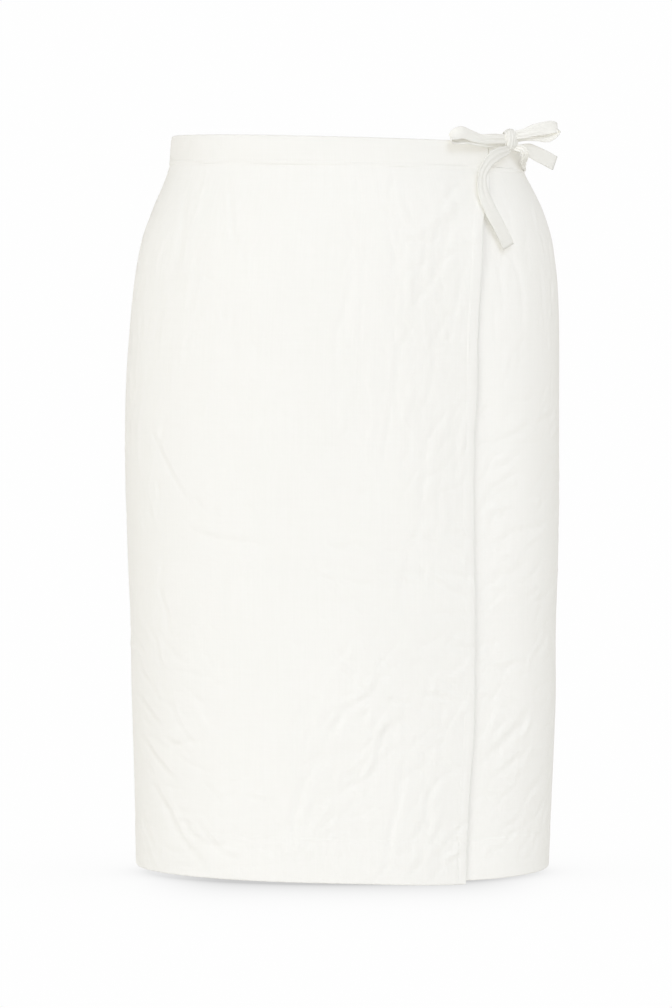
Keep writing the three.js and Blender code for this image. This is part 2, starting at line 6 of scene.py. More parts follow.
import bpy
import numpy as np
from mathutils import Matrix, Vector


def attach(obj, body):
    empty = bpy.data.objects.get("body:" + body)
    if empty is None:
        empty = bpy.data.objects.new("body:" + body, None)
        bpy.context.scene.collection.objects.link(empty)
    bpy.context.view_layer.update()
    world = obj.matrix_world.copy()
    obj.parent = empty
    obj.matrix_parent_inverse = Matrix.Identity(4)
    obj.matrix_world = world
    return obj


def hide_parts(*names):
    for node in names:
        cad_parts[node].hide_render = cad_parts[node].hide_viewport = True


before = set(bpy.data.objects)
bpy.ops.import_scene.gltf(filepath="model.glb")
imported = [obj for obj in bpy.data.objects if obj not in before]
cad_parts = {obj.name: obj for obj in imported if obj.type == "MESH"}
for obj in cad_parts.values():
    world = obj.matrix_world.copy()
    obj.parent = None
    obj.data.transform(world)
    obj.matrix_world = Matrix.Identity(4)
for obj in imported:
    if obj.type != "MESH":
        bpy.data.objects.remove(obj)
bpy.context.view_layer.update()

# Lengths are in millimetres until a mesh is made. A place on the cloth is around, measured along
# the hip line from the centre front towards +X, drop below the waistband's top edge, and out,
# the distance outside the skirt's form.
MM = 0.001
LENGTH = 640.0
WAISTBAND = 25.0
HEM = 38.0
HEM_LINE = LENGTH - HEM
EDGE_TURN = 9.0
TIE = 12.0
TIE_OPEN = 13.2
HIP_DROP = 230.0
HIP_STEPS = 1440
UNDER_END = -60.0
UNDER_SHORT = 3.0
BACK_SHORT = 1.0
WAIST_TILT = 0.0263
TILT_FADE = 110.0
SEAM_OVERLAP = 0.3
BAND_COVER = 3.0
SQUARE = 2.25

# Thicknesses, and how deep the under front and its waistband lie beneath the wrap.
CLOTH = 0.7
HEM_CLOTH = 1.3
BAND_CLOTH = 2.3
TIE_CLOTH = 1.1
KNOT_CLOTH = 1.0
LAYER_DEPTH = 1.4
BAND_LAYER_DEPTH = 3.2
TUCK_FROM = 0.3
TUCK_FADE = 60.0

# A turned hem or edge stands proud of the panel, past a soft step. Edges round off over EDGE_ROUND.
TURN_PROUD = 0.35
TURN_SOFT = 0.8
EDGE_ROUND = 0.7

# The panels' grids: the step of each, and the extra lines close inside an edge or a seam.
WRAP_STEP = 2.26
UNDER_STEP = 2.02
BACK_STEP = 2.65
EDGE_LINE = 0.5
HEM_LINES = (0.5, 1.2)
SEAM_LINES = (0.6, 1.3)
MARK_LINES = (-2.4, -1.2, -0.5, 0, 0.5, 1.2, 2.4)
MARK_CLEAR = 3.2
LEAST_STEP = 0.2

# The wrap's columns are laid out to BASE_EDGE, and past FOLLOW_FROM they bend to its free edge.
BASE_EDGE = 116.0
FOLLOW_FROM = 40.0
FOLLOW_TO = BASE_EDGE - EDGE_TURN - 4.0


Section = namedtuple("Section", "drop half front back shift")
SECTIONS = [
    Section(0, 151.8, 101, 99, 1.9),
    Section(25, 155.9, 103.5, 103.5, 3.7),
    Section(40, 162, 107, 110, 4.7),
    Section(60, 170.9, 110.5, 118, 4.5),
    Section(90, 180.4, 114, 126.5, 3.2),
    Section(140, 186.9, 117.5, 133.5, 1.9),
    Section(230, 190.5, 119, 134, -0.6),
    Section(360, 189.4, 118.5, 127, 0),
    Section(430, 187, 117.7, 123.9, 0.5),
    Section(500, 186.2, 117, 121, 1),
    Section(640, 181.7, 115, 117, -0.6),
]

# How far the hem hangs above its own level, from the left side seam all round to it again.
Rise = namedtuple("Rise", "around up")
HEM_RISE = [
    Rise(-252, 4.6), Rise(-200, 4.6), Rise(-150, 3.6), Rise(-60, 1.6), Rise(20, 0), Rise(90, -2),
    Rise(150, -1.8), Rise(210, 0), Rise(252, 1.4), Rise(400, 1), Rise(640, 2), Rise(778, 4.6),
]
RISE_FROM = 300.0

Edge = namedtuple("Edge", "drop around")
FREE_EDGE = [
    Edge(0, 158), Edge(27, 150.5), Edge(65, 128.3), Edge(107, 122.1), Edge(162, 117.6), Edge(226, 117.5),
    Edge(260, 115.2), Edge(363, 115), Edge(398, 116.2), Edge(484, 116.2), Edge(518, 115.8),
    Edge(570, 113), Edge(640, 112.7),
]

Gape = namedtuple("Gape", "drop out")
GAPE = [Gape(25, 0), Gape(60, 2.6), Gape(90, 2.8), Gape(150, 1.1), Gape(300, 0.4), Gape(640, 0.5)]
GAPE_REACH = 18.0

# A crease runs through the places of its path. width is its half width and depth is below zero
# for a trough.
Crease = namedtuple("Crease", "path width depth")
WRAP_CREASES = [
    Crease([(-172, 46), (-158, 85), (-160, 123)], 4.4, -1.3),
    Crease([(-174, 124), (-174, 158), (-181, 192)], 4.4, -1.13),
    Crease([(-123, 27), (-108, 72), (-99, 119)], 2.8, -0.87),
    Crease([(-128, 38), (-117, 81), (-115, 108)], 2.2, -0.52),
    Crease([(-101, 124), (-97, 166), (-91, 194)], 2.8, -0.52),
    Crease([(-1, 38), (4, 132), (-5, 166), (-2, 226)], 3.9, -0.87),
    Crease([(7, 54), (11, 90), (15, 141), (10, 188)], 2.2, -0.52),
    Crease([(37, 47), (39, 91), (46, 110)], 2.2, -0.52),
    Crease([(126, 39), (87, 66), (57, 88)], 3.9, 1.39),
    Crease([(107, 51), (98, 81)], 2.2, -0.61),
    Crease([(97, 63), (82, 110), (58, 147)], 3.9, -1.3),
    Crease([(98, 165), (84, 179)], 2.2, -0.52),
    Crease([(106, 100), (98, 141), (94, 166)], 2.2, -0.61),
    Crease([(97, 194), (87, 211)], 2.2, -0.61),
    Crease([(92, 233), (81, 247), (72, 262)], 2.8, -1.04),
    Crease([(105, 236), (98, 260), (99, 290)], 2.8, -0.96),
    Crease([(73, 256), (69, 303), (71, 335)], 3.3, -1.13),
    Crease([(60, 335), (63, 350)], 2.2, -0.43),
    Crease([(24, 354), (30, 369)], 2.2, -0.43),
    Crease([(-1, 380), (13, 383), (29, 381)], 2.8, -0.87),
    Crease([(60, 361), (75, 376), (95, 389), (112, 396)], 3.3, -1.48),
    Crease([(70, 406), (85, 402)], 2.2, -0.43),
    Crease([(52, 418), (53, 431)], 2.2, -0.43),
    Crease([(32, 407), (28, 431)], 2.2, -0.43),
    Crease([(33, 459), (21, 478), (1, 491), (-14, 519)], 3.3, -1.57),
    Crease([(-16, 495), (-22, 506), (-38, 521)], 2.2, -0.7),
    Crease([(-14, 526), (-33, 549), (-41, 569), (-45, 612)], 3.9, -1.65),
    Crease([(83, 500), (67, 514), (53, 527)], 2.8, -0.78),
    Crease([(25, 519), (17, 541), (2, 562)], 3.3, -1.22),
    Crease([(103, 540), (86, 549), (75, 565), (79, 602)], 3.3, -1.3),
    Crease([(54, 541), (48, 569), (41, 603), (38, 631)], 3.3, -1.22),
    Crease([(-5, 579), (-20, 594)], 2.2, -0.61),
    Crease([(33, 568), (15, 581), (-2, 586)], 2.2, -0.7),
    Crease([(87, 594), (86, 624)], 2.2, -0.7),
    Crease([(-205, 488), (-185, 503), (-173, 512)], 2.8, -1.39),
    Crease([(-203, 523), (-178, 543), (-155, 560)], 3.3, -1.91),
    Crease([(-191, 561), (-171, 580), (-152, 607), (-125, 631)], 3.9, -2),
    Crease([(-155, 582), (-139, 604), (-114, 614)], 3.3, -1.39),
    Crease([(-163, 486), (-155, 503), (-135, 528)], 2.2, -0.7),
    Crease([(-179, 250), (-164, 274), (-147, 301), (-134, 316)], 2.8, -1.3),
    Crease([(-140, 334), (-121, 342), (-93, 346), (-69, 348)], 2.8, -1.04),
    Crease([(-175, 386), (-164, 410), (-161, 435)], 2.8, -1.04),
    Crease([(-70, 370), (-52, 363)], 2.2, -0.52),
    Crease([(-130, 610), (-73, 612), (-37, 612)], 2.2, -0.43),
]

UNDER_CREASES = [
    Crease([(119, 276), (140, 261), (175, 247)], 2.8, -0.83),
    Crease([(119, 320), (135, 302), (165, 285)], 3.3, -1.18),
    Crease([(128, 339), (138, 321), (148, 311)], 2.8, -1.04),
    Crease([(140, 352), (153, 341), (174, 336), (198, 334)], 2.8, -0.9),
    Crease([(160, 366), (174, 352), (197, 340)], 2.2, -0.62),
    Crease([(140, 382), (153, 375), (175, 361)], 2.8, -0.9),
    Crease([(120, 408), (136, 401)], 2.2, -0.56),
    Crease([(123, 465), (142, 455), (177, 453)], 2.8, -0.9),
    Crease([(139, 476), (155, 465)], 2.2, -0.49),
    Crease([(120, 540), (138, 526), (154, 514), (178, 491)], 3.9, -1.67),
    Crease([(148, 501), (147, 492)], 2.2, -0.42),
    Crease([(131, 599), (158, 600), (184, 592)], 2.2, -0.62),
    Crease([(148, 614), (162, 612)], 2.2, -0.42),
    Crease([(144, 84), (163, 123), (164, 167)], 3.3, -0.9),
    Crease([(192, 106), (195, 166)], 2.8, -0.56),
    Crease([(236, 150), (233, 240), (228, 330)], 4.4, -0.83),
    Crease([(208, 420), (226, 452), (236, 498)], 3.9, -0.83),
    Crease([(212, 556), (230, 580), (234, 622)], 3.9, -1.04),
]

BACK_CREASES = [
    Crease([(300, 40), (309, 88), (312, 135)], 4.4, -1.13),
    Crease([(405, 27), (419, 84), (428, 150)], 2.8, -0.87),
    Crease([(628, 27), (613, 82), (603, 146)], 2.8, -0.87),
    Crease([(735, 44), (722, 96), (716, 150)], 4.4, -1.22),
    Crease([(470, 60), (474, 128), (468, 196)], 3.3, -0.7),
    Crease([(556, 48), (561, 100), (559, 150)], 2.8, -0.61),
    Crease([(330, 262), (362, 284), (402, 318)], 3.3, -1.48),
    Crease([(356, 350), (402, 388), (452, 402)], 3.9, -1.3),
    Crease([(520, 255), (524, 302), (516, 350)], 3.9, -1.13),
    Crease([(706, 288), (676, 316), (634, 330)], 3.3, -1.48),
    Crease([(690, 372), (644, 404), (590, 420)], 3.9, -1.3),
    Crease([(742, 500), (712, 524), (668, 560)], 3.9, -1.65),
    Crease([(612, 470), (584, 508), (566, 560)], 3.9, -1.48),
    Crease([(300, 492), (330, 528), (368, 556)], 3.9, -1.74),
    Crease([(398, 520), (430, 562), (446, 616)], 3.9, -1.48),
    Crease([(500, 540), (500, 586), (494, 630)], 3.9, -1.3),
    Crease([(470, 430), (502, 446), (540, 444)], 2.8, -0.87),
    Crease([(640, 566), (652, 596), (648, 630)], 3.3, -1.04),
    Crease([(350, 186), (380, 204), (414, 208)], 2.8, -0.78),
    Crease([(640, 190), (664, 214), (700, 224)], 2.8, -0.78),
    Crease([(300, 396), (318, 420), (322, 452)], 2.8, -0.96),
    Crease([(734, 214), (720, 246), (722, 272)], 2.8, -0.87),
    Crease([(560, 612), (578, 604), (606, 606)], 2.2, -0.61),
    Crease([(452, 470), (438, 492), (432, 520)], 2.2, -0.7),
]

BAND_CREASES = [
    Crease([(-147, 3), (-132, 12), (-118, 21)], 3.5, -0.5),
    Crease([(-196, 22), (-184, 12), (-178, 4)], 4, -0.35),
    Crease([(-60, 5), (-48, 20)], 4, -0.25),
    Crease([(40, 20), (58, 6)], 4, -0.3),
    Crease([(104, 4), (116, 14), (122, 23)], 4, -0.4),
    Crease([(300, 4), (318, 20)], 4, -0.35),
    Crease([(420, 22), (438, 8)], 4, -0.35),
    Crease([(560, 6), (572, 20)], 4, -0.3),
    Crease([(690, 20), (708, 5)], 4, -0.35),
]

# Fine creases between the main ones, drawn from a seed for each zone. around and drop are the
# zone's limits and lean is the creases' angle from level, in degrees, rising towards +X above 0.
Zone = namedtuple("Zone", "around drop lean count length depth")
WRAP_ZONES = [
    Zone((-240, 100), (45, 620), (-90, 90), 150, (12, 45), (0.13, 0.49)),
    Zone((-5, 105), (30, 260), (80, 100), 52, (30, 95), (0.24, 0.7)),
    Zone((55, 108), (30, 110), (28, 60), 14, (20, 60), (0.32, 0.79)),
    Zone((50, 110), (90, 400), (48, 95), 52, (16, 60), (0.24, 0.73)),
    Zone((-20, 110), (340, 480), (-45, 10), 40, (16, 50), (0.24, 0.79)),
    Zone((-40, 110), (430, 632), (35, 80), 84, (16, 70), (0.32, 0.88)),
    Zone((-30, 110), (460, 632), (-35, 20), 22, (14, 40), (0.24, 0.7)),
    Zone((-235, -110), (430, 632), (-60, -20), 30, (20, 70), (0.32, 0.88)),
    Zone((-200, -30), (500, 632), (-12, 30), 26, (18, 60), (0.19, 0.61)),
    Zone((-240, -165), (50, 430), (70, 105), 30, (24, 90), (0.32, 0.79)),
    Zone((-150, -60), (30, 260), (78, 102), 34, (24, 80), (0.19, 0.56)),
]
UNDER_ZONES = [
    Zone((112, 245), (60, 240), (60, 110), 30, (14, 60), (0.24, 0.7)),
    Zone((112, 245), (220, 400), (15, 50), 62, (14, 55), (0.32, 0.88)),
    Zone((112, 245), (380, 630), (18, 60), 70, (14, 55), (0.32, 0.88)),
    Zone((112, 245), (300, 625), (-50, 0), 26, (10, 30), (0.24, 0.61)),
    Zone((112, 245), (560, 630), (60, 110), 14, (14, 36), (0.24, 0.61)),
]
BACK_ZONES = [
    Zone((260, 770), (45, 625), (-90, 90), 150, (12, 45), (0.16, 0.53)),
    Zone((262, 400), (60, 260), (70, 110), 26, (20, 80), (0.24, 0.7)),
    Zone((630, 768), (60, 260), (70, 110), 26, (20, 80), (0.24, 0.7)),
    Zone((300, 520), (280, 620), (-60, -15), 60, (16, 60), (0.32, 0.88)),
    Zone((520, 740), (280, 620), (15, 60), 60, (16, 60), (0.32, 0.88)),
    Zone((400, 640), (60, 260), (75, 105), 24, (20, 70), (0.19, 0.61)),
]


# How deep creases lie, as shares of the tables' depths, and the broad uneven waves of each panel.
MAIN_SHARE = 0.66
FINE_SHARE = 0.74
UNDER_SHARE = 0.88
SWELL = 0.5
WAVES = 16
WAVE_LENGTHS = (60, 150)
RIDGE = 0.4
FINE_WIDTHS = (2.0, 3.2)
FINE_BEND = 0.12

Groove = namedtuple("Groove", "width depth")
HEM_GROOVE = Groove(1.2, 0.22)
HEM_GROOVE_LINE = HEM_LINE + 1.5
WAIST_GROOVE = Groove(1.8, 0.3)
SIDE_GROOVE = Groove(1.3, 0.7)

# The row of stitches along the free edge. It presses the edge in below the part that stands off.
EDGE_STITCH = EDGE_TURN - 1.2
EDGE_STITCH_WIDTH = 1.0
EDGE_STITCH_DEPTHS = (0.06, 0.2)
PRESSED = (150, 280)


def read(rows, column, at):
    """A column of a table read at values of its first column, on a smooth curve through its rows."""
    places = np.array([row[0] for row in rows], float)
    values = np.array([getattr(row, column) for row in rows], float)
    at = np.clip(np.asarray(at, float), places[0], places[-1])
    slopes = np.gradient(values, places, edge_order=1)
    slopes[1:-1] = (values[2:] - values[:-2]) / (places[2:] - places[:-2])
    i = np.clip(np.searchsorted(places, at, side="right") - 1, 0, len(places) - 2)
    step = places[i + 1] - places[i]
    t = (at - places[i]) / step
    rise = values[i + 1] - values[i]
    leave, arrive = slopes[i] * step, slopes[i + 1] * step
    return (values[i] + t * leave + t * t * (3 * rise - 2 * leave - arrive)
            + t ** 3 * (leave + arrive - 2 * rise))


def smoothstep(value, low, high):
    t = np.clip((value - low) / (high - low), 0, 1)
    return t * t * (3 - 2 * t)


def unit(vectors):
    return vectors / np.linalg.norm(vectors, axis=-1, keepdims=True)


def lengths_along(line):
    """How far along a line each of its points is."""
    return np.concatenate([[0], np.cumsum(np.linalg.norm(np.diff(line, axis=0), axis=1))])


def between(places, rows, at):
    """Rows of numbers, given at places, read on straight lines between them."""
    return np.stack([np.interp(at, places, column) for column in rows.T], axis=-1)


def section(turn, drop):
    """The form's points and outward normals at turns about the waist's centre."""
    half = read(SECTIONS, "half", drop)
    depth = np.where(np.cos(turn) > 0, read(SECTIONS, "front", drop), read(SECTIONS, "back", drop))
    sideways, forward = np.sin(turn) / half, np.cos(turn) / depth
    radius = (np.abs(sideways) ** SQUARE + np.abs(forward) ** SQUARE) ** (-1 / SQUARE)
    normal = np.stack([
        np.sign(sideways) * np.abs(sideways) ** (SQUARE - 1) / half,
        -np.sign(forward) * np.abs(forward) ** (SQUARE - 1) / depth,
        np.zeros_like(sideways),
    ], axis=-1)
    x = radius * np.sin(turn) + read(SECTIONS, "shift", drop)
    point = np.stack([x, -radius * np.cos(turn), -drop + 0 * x], axis=-1)
    return point, unit(normal)


HIP_TURNS = np.linspace(-math.pi, math.pi, HIP_STEPS + 1)
HIP_AROUND = lengths_along(section(HIP_TURNS, np.full(HIP_STEPS + 1, HIP_DROP))[0])
HIP_AROUND -= HIP_AROUND[HIP_STEPS // 2]
HIP_GIRTH = HIP_AROUND[-1] - HIP_AROUND[0]
SIDE = HIP_AROUND[HIP_STEPS * 3 // 4]


def turn_at(around):
    laps = np.round(around / HIP_GIRTH)
    return np.interp(around - laps * HIP_GIRTH, HIP_AROUND, HIP_TURNS) + laps * 2 * math.pi


def cloth_point(around, drop, out):
    """Points at places on the cloth."""
    point, normal = section(turn_at(around), drop)
    fall = WAIST_TILT * point[..., 0] * (1 - smoothstep(drop, 0, TILT_FADE))
    rise = read(HEM_RISE, "up", around) * smoothstep(drop, RISE_FROM, LENGTH)
    point = point + normal * np.asarray(out)[..., None]
    point[..., 2] += rise - fall
    return point


def outward(around, drop):
    return section(turn_at(around), drop)[1]


def edge_at(drop):
    return read(FREE_EDGE, "around", drop)


def blend(first, second, low, high, at):
    return (first * (high - at) + second * (at - low)) / (high - low)


def smooth_line(points, steps):
    """A centripetal curve through points, with a number of steps between two of them."""
    points = np.asarray(points, float)
    padded = np.vstack([2 * points[0] - points[1], points, 2 * points[-1] - points[-2]])
    made = []
    for i in range(1, len(padded) - 2):
        p = padded[i - 1:i + 3]
        knots = np.concatenate([[0], np.cumsum(np.sqrt(np.linalg.norm(np.diff(p, axis=0), axis=1)))])
        for t in knots[1] + (knots[2] - knots[1]) * np.arange(steps) / steps:
            a = [blend(p[j], p[j + 1], knots[j], knots[j + 1], t) for j in range(3)]
            b = [blend(a[j], a[j + 1], knots[j], knots[j + 2], t) for j in range(2)]
            made.append(blend(*b, knots[1], knots[2], t))
    made.append(points[-1])
    return np.array(made)


def crease_lift(creases, around, drop):
    """How far creases move the cloth out at places. Each trough has a soft ridge on one side."""
    lift = np.zeros_like(around)
    for path, width, depth in creases:
        line = smooth_line(path, 5)
        reach = 4.5 * width
        low, high = line.min(axis=0) - reach, line.max(axis=0) + reach
        near = (around > low[0]) & (around < high[0]) & (drop > low[1]) & (drop < high[1])
        if not near.any():
            continue
        place = np.stack([around[near], drop[near]], axis=-1)
        gone = lengths_along(line)
        run = unit(np.diff(line, axis=0))
        offset = place[:, None] - line[:-1]
        share = np.clip(np.sum(offset * run, axis=-1), 0, np.diff(gone))
        distance = np.linalg.norm(offset - share[..., None] * run, axis=-1)
        side = np.sign(offset[..., 0] * run[:, 1] - offset[..., 1] * run[:, 0])
        first = np.arange(len(place)), np.argmin(distance, axis=1)
        aside, along = (distance * side)[first], (gone[:-1] + share)[first]
        fade = np.sin(math.pi * np.clip(along / gone[-1], 0, 1)) ** 0.7
        trough = np.exp(-(aside / width) ** 2)
        ridge = RIDGE * np.exp(-((aside - 1.9 * width) / (1.2 * width)) ** 2)
        lift[near] += depth * fade * (trough - ridge)
    return lift


def fine_creases(zones, seed):
    """The zones' creases, each with its own length, lean, bend, width and depth."""
    rng = np.random.default_rng(seed)
    made = []
    for zone in zones:
        for _ in range(zone.count):
            middle = np.array([rng.uniform(*zone.around), rng.uniform(*zone.drop)])
            lean = math.radians(rng.uniform(*zone.lean))
            run = np.array([math.cos(lean), -math.sin(lean)])
            aside = np.array([run[1], -run[0]])
            reach = rng.uniform(*zone.length) / 2
            bends = rng.normal(0, FINE_BEND, 4) * reach
            path = [middle + run * reach * share + aside * bend
                    for share, bend in zip((-1, -0.35, 0.4, 1), bends)]
            depth = rng.uniform(*zone.depth) * rng.choice([-1, -1, -1, 1])
            made.append(Crease(path, rng.uniform(*FINE_WIDTHS), depth))
    return made


def swell(seed, around, drop):
    """Broad uneven waves over a panel."""
    rng = np.random.default_rng(seed)
    total = np.zeros_like(around)
    for _ in range(WAVES):
        wave = rng.uniform(*WAVE_LENGTHS)
        lean = rng.uniform(0, math.pi)
        phase = rng.uniform(0, 2 * math.pi)
        along = around * math.cos(lean) + drop * math.sin(lean) * 0.6
        total += np.cos(2 * math.pi * along / wave + phase)
    return total / math.sqrt(WAVES)


def still_edges(around, drop, start, end):
    """One inside a panel, and nought at its side seams and its waist."""
    sides = smoothstep(around, start, start + 14) * (1 - smoothstep(around, end - 14, end))
    return sides * smoothstep(drop, WAISTBAND, WAISTBAND + 16)


def grid_lines(start, end, step, marks=()):
    """Values from start to end about a step apart, with finer ones close to the marks."""
    count = max(round((end - start) / step), 1)
    values = list(np.linspace(start, end, count + 1))
    for mark in marks:
        close = [mark + shift for shift in MARK_LINES if start <= mark + shift <= end]
        values = [v for v in values if abs(v - mark) > MARK_CLEAR or v in (start, end)] + close
    values = sorted(values)
    kept = [values[0]]
    for value in values[1:]:
        if value - kept[-1] > LEAST_STEP:
            kept.append(value)
    kept[-1] = end
    return np.array(kept)


def add(name, data):
    made = bpy.data.objects.new(name, data)
    bpy.context.scene.collection.objects.link(made)
    return made


def link(name, mesh, look):
    """A smooth mesh from points in millimetres, faces, and cloth lengths as its UV map, in metres."""
    verts, faces, uvs = mesh
    mesh = bpy.data.meshes.new(name)
    mesh.from_pydata((np.asarray(verts) * MM).tolist(), [], np.asarray(faces).tolist())
    layer = mesh.uv_layers.new(name="Cloth")
    corner = np.empty(len(mesh.loops), np.int32)
    mesh.loops.foreach_get("vertex_index", corner)
    layer.data.foreach_set("uv", (np.asarray(uvs) * MM)[corner].astype(np.float32).ravel())
    mesh.polygons.foreach_set("use_smooth", np.ones(len(mesh.polygons), bool))
    mesh.materials.append(look)
    mesh.update()
    piece = add(name, mesh)
    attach(piece, "root")
    return piece


def dress(cad_node, mesh, look):
    """The cloth that takes a solid's place."""
    piece = link(cad_node + "_cloth", mesh, look)
    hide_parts(cad_node)
    return piece


def quads(*corners):
    """Faces between four equal grids of point numbers."""
    return np.stack(corners, axis=-1).reshape(-1, 4)


def grid_faces(numbers):
    return quads(numbers[:-1, :-1], numbers[1:, :-1], numbers[1:, 1:], numbers[:-1, 1:])


def shell(outer, inner, uv):
    """Points, faces and UVs of a closed sheet between two grids of points."""
    verts = np.concatenate([outer.reshape(-1, 3), inner.reshape(-1, 3)])
    count = len(verts) // 2
    numbers = np.arange(count).reshape(outer.shape[:2])
    faces = [grid_faces(numbers), grid_faces(numbers)[:, ::-1] + count]
    rims = ((numbers[0], 1), (numbers[-1], -1), (numbers[:, 0], -1), (numbers[:, -1], 1))
    for line, order in rims:
        faces.append(quads(line[:-1], line[1:], line[1:] + count, line[:-1] + count)[:, ::order])
    flat = uv.reshape(-1, 2)
    return verts, np.concatenate(faces), np.concatenate([flat, flat])


def rounded(inside, reach, least=0.35):
    """The share of its thickness that cloth keeps, from the least at an edge to all at reach inside."""
    return least + (1 - least) * np.sqrt(np.clip(inside / reach, 0, 1))


# A stitch is a short length of thread with rounded ends. Its rings run from end to end.
Ring = namedtuple("Ring", "share fat rise")
STITCH_RINGS = [
    Ring(0, 0.3, -0.12), Ring(0.2, 0.9, 0), Ring(0.5, 1, 0.06), Ring(0.8, 0.9, 0), Ring(1, 0.3, -0.12),
]
STITCH_SIDES = 6
STITCH_PITCH = 2.6
STITCH_LONG = 1.9
THREAD = 0.36
THREAD_PROUD = 0.1


def stitch_faces():
    numbers = np.arange(len(STITCH_RINGS) * STITCH_SIDES).reshape(-1, STITCH_SIDES)
    beside = np.roll(numbers, -1, axis=1)
    walls = quads(numbers[:-1], beside[:-1], beside[1:], numbers[1:])
    halves = [[0, 1, 2, 3], [0, 3, 4, 5]]
    return np.concatenate([walls, numbers[0, ::-1][halves], numbers[-1][halves]])


def stitches(route, normals):
    """Points, faces and UVs of a row of stitches along a route."""
    gone = lengths_along(route)
    turns = 2 * math.pi * np.arange(STITCH_SIDES) / STITCH_SIDES
    verts = []
    middles = np.arange(STITCH_PITCH / 2, gone[-1] - STITCH_PITCH / 2, STITCH_PITCH)
    for middle in middles:
        start, end = between(gone, route, middle + STITCH_LONG * np.array([-0.5, 0.5]))
        run = unit(end - start)
        across = unit(np.cross(between(gone, normals, middle), run))
        up = np.cross(run, across)
        for share, fat, rise in STITCH_RINGS:
            centre = start * (1 - share) + end * share + up * (THREAD_PROUD + rise)
            for turn in turns:
                verts.append(centre + fat * THREAD / 2 * (across * math.cos(turn) + up * math.sin(turn)))
    verts = np.array(verts)
    firsts = np.arange(len(middles)) * len(STITCH_RINGS) * STITCH_SIDES
    faces = (stitch_faces()[None] + firsts[:, None, None]).reshape(-1, 4)
    return verts, faces, verts[:, [0, 2]]


def joined(meshes):
    """Several meshes' points, faces and UVs as one."""
    verts, faces, uvs = zip(*meshes)
    firsts = np.cumsum([0] + [len(points) for points in verts[:-1]])
    moved = [np.asarray(own) + first for own, first in zip(faces, firsts)]
    return np.concatenate(verts), np.concatenate(moved), np.concatenate(uvs)


def node(tree, kind, **values):
    made = tree.nodes.new("ShaderNode" + kind)
    for name, value in values.items():
        if name in made.inputs:
            made.inputs[name].default_value = value
        else:
            setattr(made, name, value)
    return made


def maths(tree, operation, *values):
    made = node(tree, "Math", operation=operation)
    for socket, value in zip(made.inputs, values):
        if isinstance(value, (int, float)):
            socket.default_value = value
        else:
            tree.links.new(value, socket)
    return made.outputs[0]


def weighted(tree, first, share, second):
    """A mix of two values by the first one's share."""
    parts = [maths(tree, "MULTIPLY", value, part) for value, part in ((first, share), (second, 1 - share))]
    return maths(tree, "ADD", *parts)


def two_tone(tree, value, dark, light, start=0.0, end=1.0):
    """A colour between a dark and a light one, as a value goes from start to end."""
    ramp = node(tree, "ValToRGB")
    for stop, position, colour in zip(ramp.color_ramp.elements, (start, end), (dark, light)):
        stop.position = position
        stop.color = (*colour, 1)
    tree.links.new(value, ramp.inputs[0])
    return ramp.outputs[0]


def new_material(name):
    material = bpy.data.materials.new(name)
    material.use_nodes = True
    return material, material.node_tree


# The weave's threads and bumps, in metres.
WEAVE_HEIGHT = 0.000012
SLUB_HEIGHT = 0.00006
WARP_SHARE = 0.65
DARK_SHARE = 0.975
DARK_BLUE_SHARE = 0.968


def cotton(name, colour, thread=0.00055, crumple=0.0005):
    """Matt plain-weave cotton: weave, slubs in both directions and fine crumples, over a base colour."""
    material, tree = new_material(name)
    surface = tree.nodes["Principled BSDF"]
    for socket, value in (("Specular IOR Level", 0.22), ("Sheen Weight", 0.08), ("Sheen Roughness", 0.5)):
        surface.inputs[socket].default_value = value
    place = node(tree, "UVMap", uv_map="Cloth")

    def noise(around, drop, detail=2.0):
        """Noise with its own count of lumps to the metre around and down."""
        scaled = node(tree, "VectorMath", operation="MULTIPLY")
        scaled.inputs[1].default_value = (around, drop, 1)
        tree.links.new(place.outputs[0], scaled.inputs[0])
        made = node(tree, "TexNoise", Scale=1.0, Detail=detail, Roughness=0.55)
        tree.links.new(scaled.outputs[0], made.inputs["Vector"])
        return made.outputs[0]

    apart = node(tree, "SeparateXYZ")
    tree.links.new(place.outputs[0], apart.inputs[0])
    waves = [
        maths(tree, "SINE", maths(tree, "MULTIPLY", apart.outputs[k], 2 * math.pi / thread))
        for k in range(2)
    ]
    weave = maths(tree, "MULTIPLY", *waves)
    slubs = weighted(tree, noise(700, 14), WARP_SHARE, noise(16, 600))
    ridged = maths(tree, "ABSOLUTE", maths(tree, "SUBTRACT", noise(70, 55, detail=3.0), 0.5))
    height = maths(tree, "MULTIPLY", weave, WEAVE_HEIGHT)
    for bumps, depth in ((slubs, SLUB_HEIGHT), (ridged, crumple)):
        height = maths(tree, "ADD", height, maths(tree, "MULTIPLY", bumps, depth))
    bump = node(tree, "Bump", Strength=1.0, Distance=1.0)
    tree.links.new(height, bump.inputs["Height"])
    tree.links.new(bump.outputs[0], surface.inputs["Normal"])

    shade = weighted(tree, slubs, 0.75, noise(9, 7))
    dark = (colour[0] * DARK_SHARE, colour[1] * DARK_SHARE, colour[2] * DARK_BLUE_SHARE)
    tree.links.new(two_tone(tree, shade, dark, colour, 0.3, 0.7), surface.inputs["Base Color"])
    rough = node(tree, "MapRange", **{"To Min": 0.8, "To Max": 0.98})
    tree.links.new(slubs, rough.inputs["Value"])
    tree.links.new(rough.outputs[0], surface.inputs["Roughness"])
    return material


def sewing_thread():
    material, tree = new_material("sewing_thread")
    surface = tree.nodes["Principled BSDF"]
    surface.inputs["Roughness"].default_value = 0.55
    place = node(tree, "TexCoord")
    twist = node(tree, "TexNoise", Scale=1500.0)
    tree.links.new(place.outputs["Object"], twist.inputs["Vector"])
    colour = two_tone(tree, twist.outputs[0], (0.74, 0.73, 0.69), (0.86, 0.85, 0.82))
    tree.links.new(colour, surface.inputs["Base Color"])
    return material


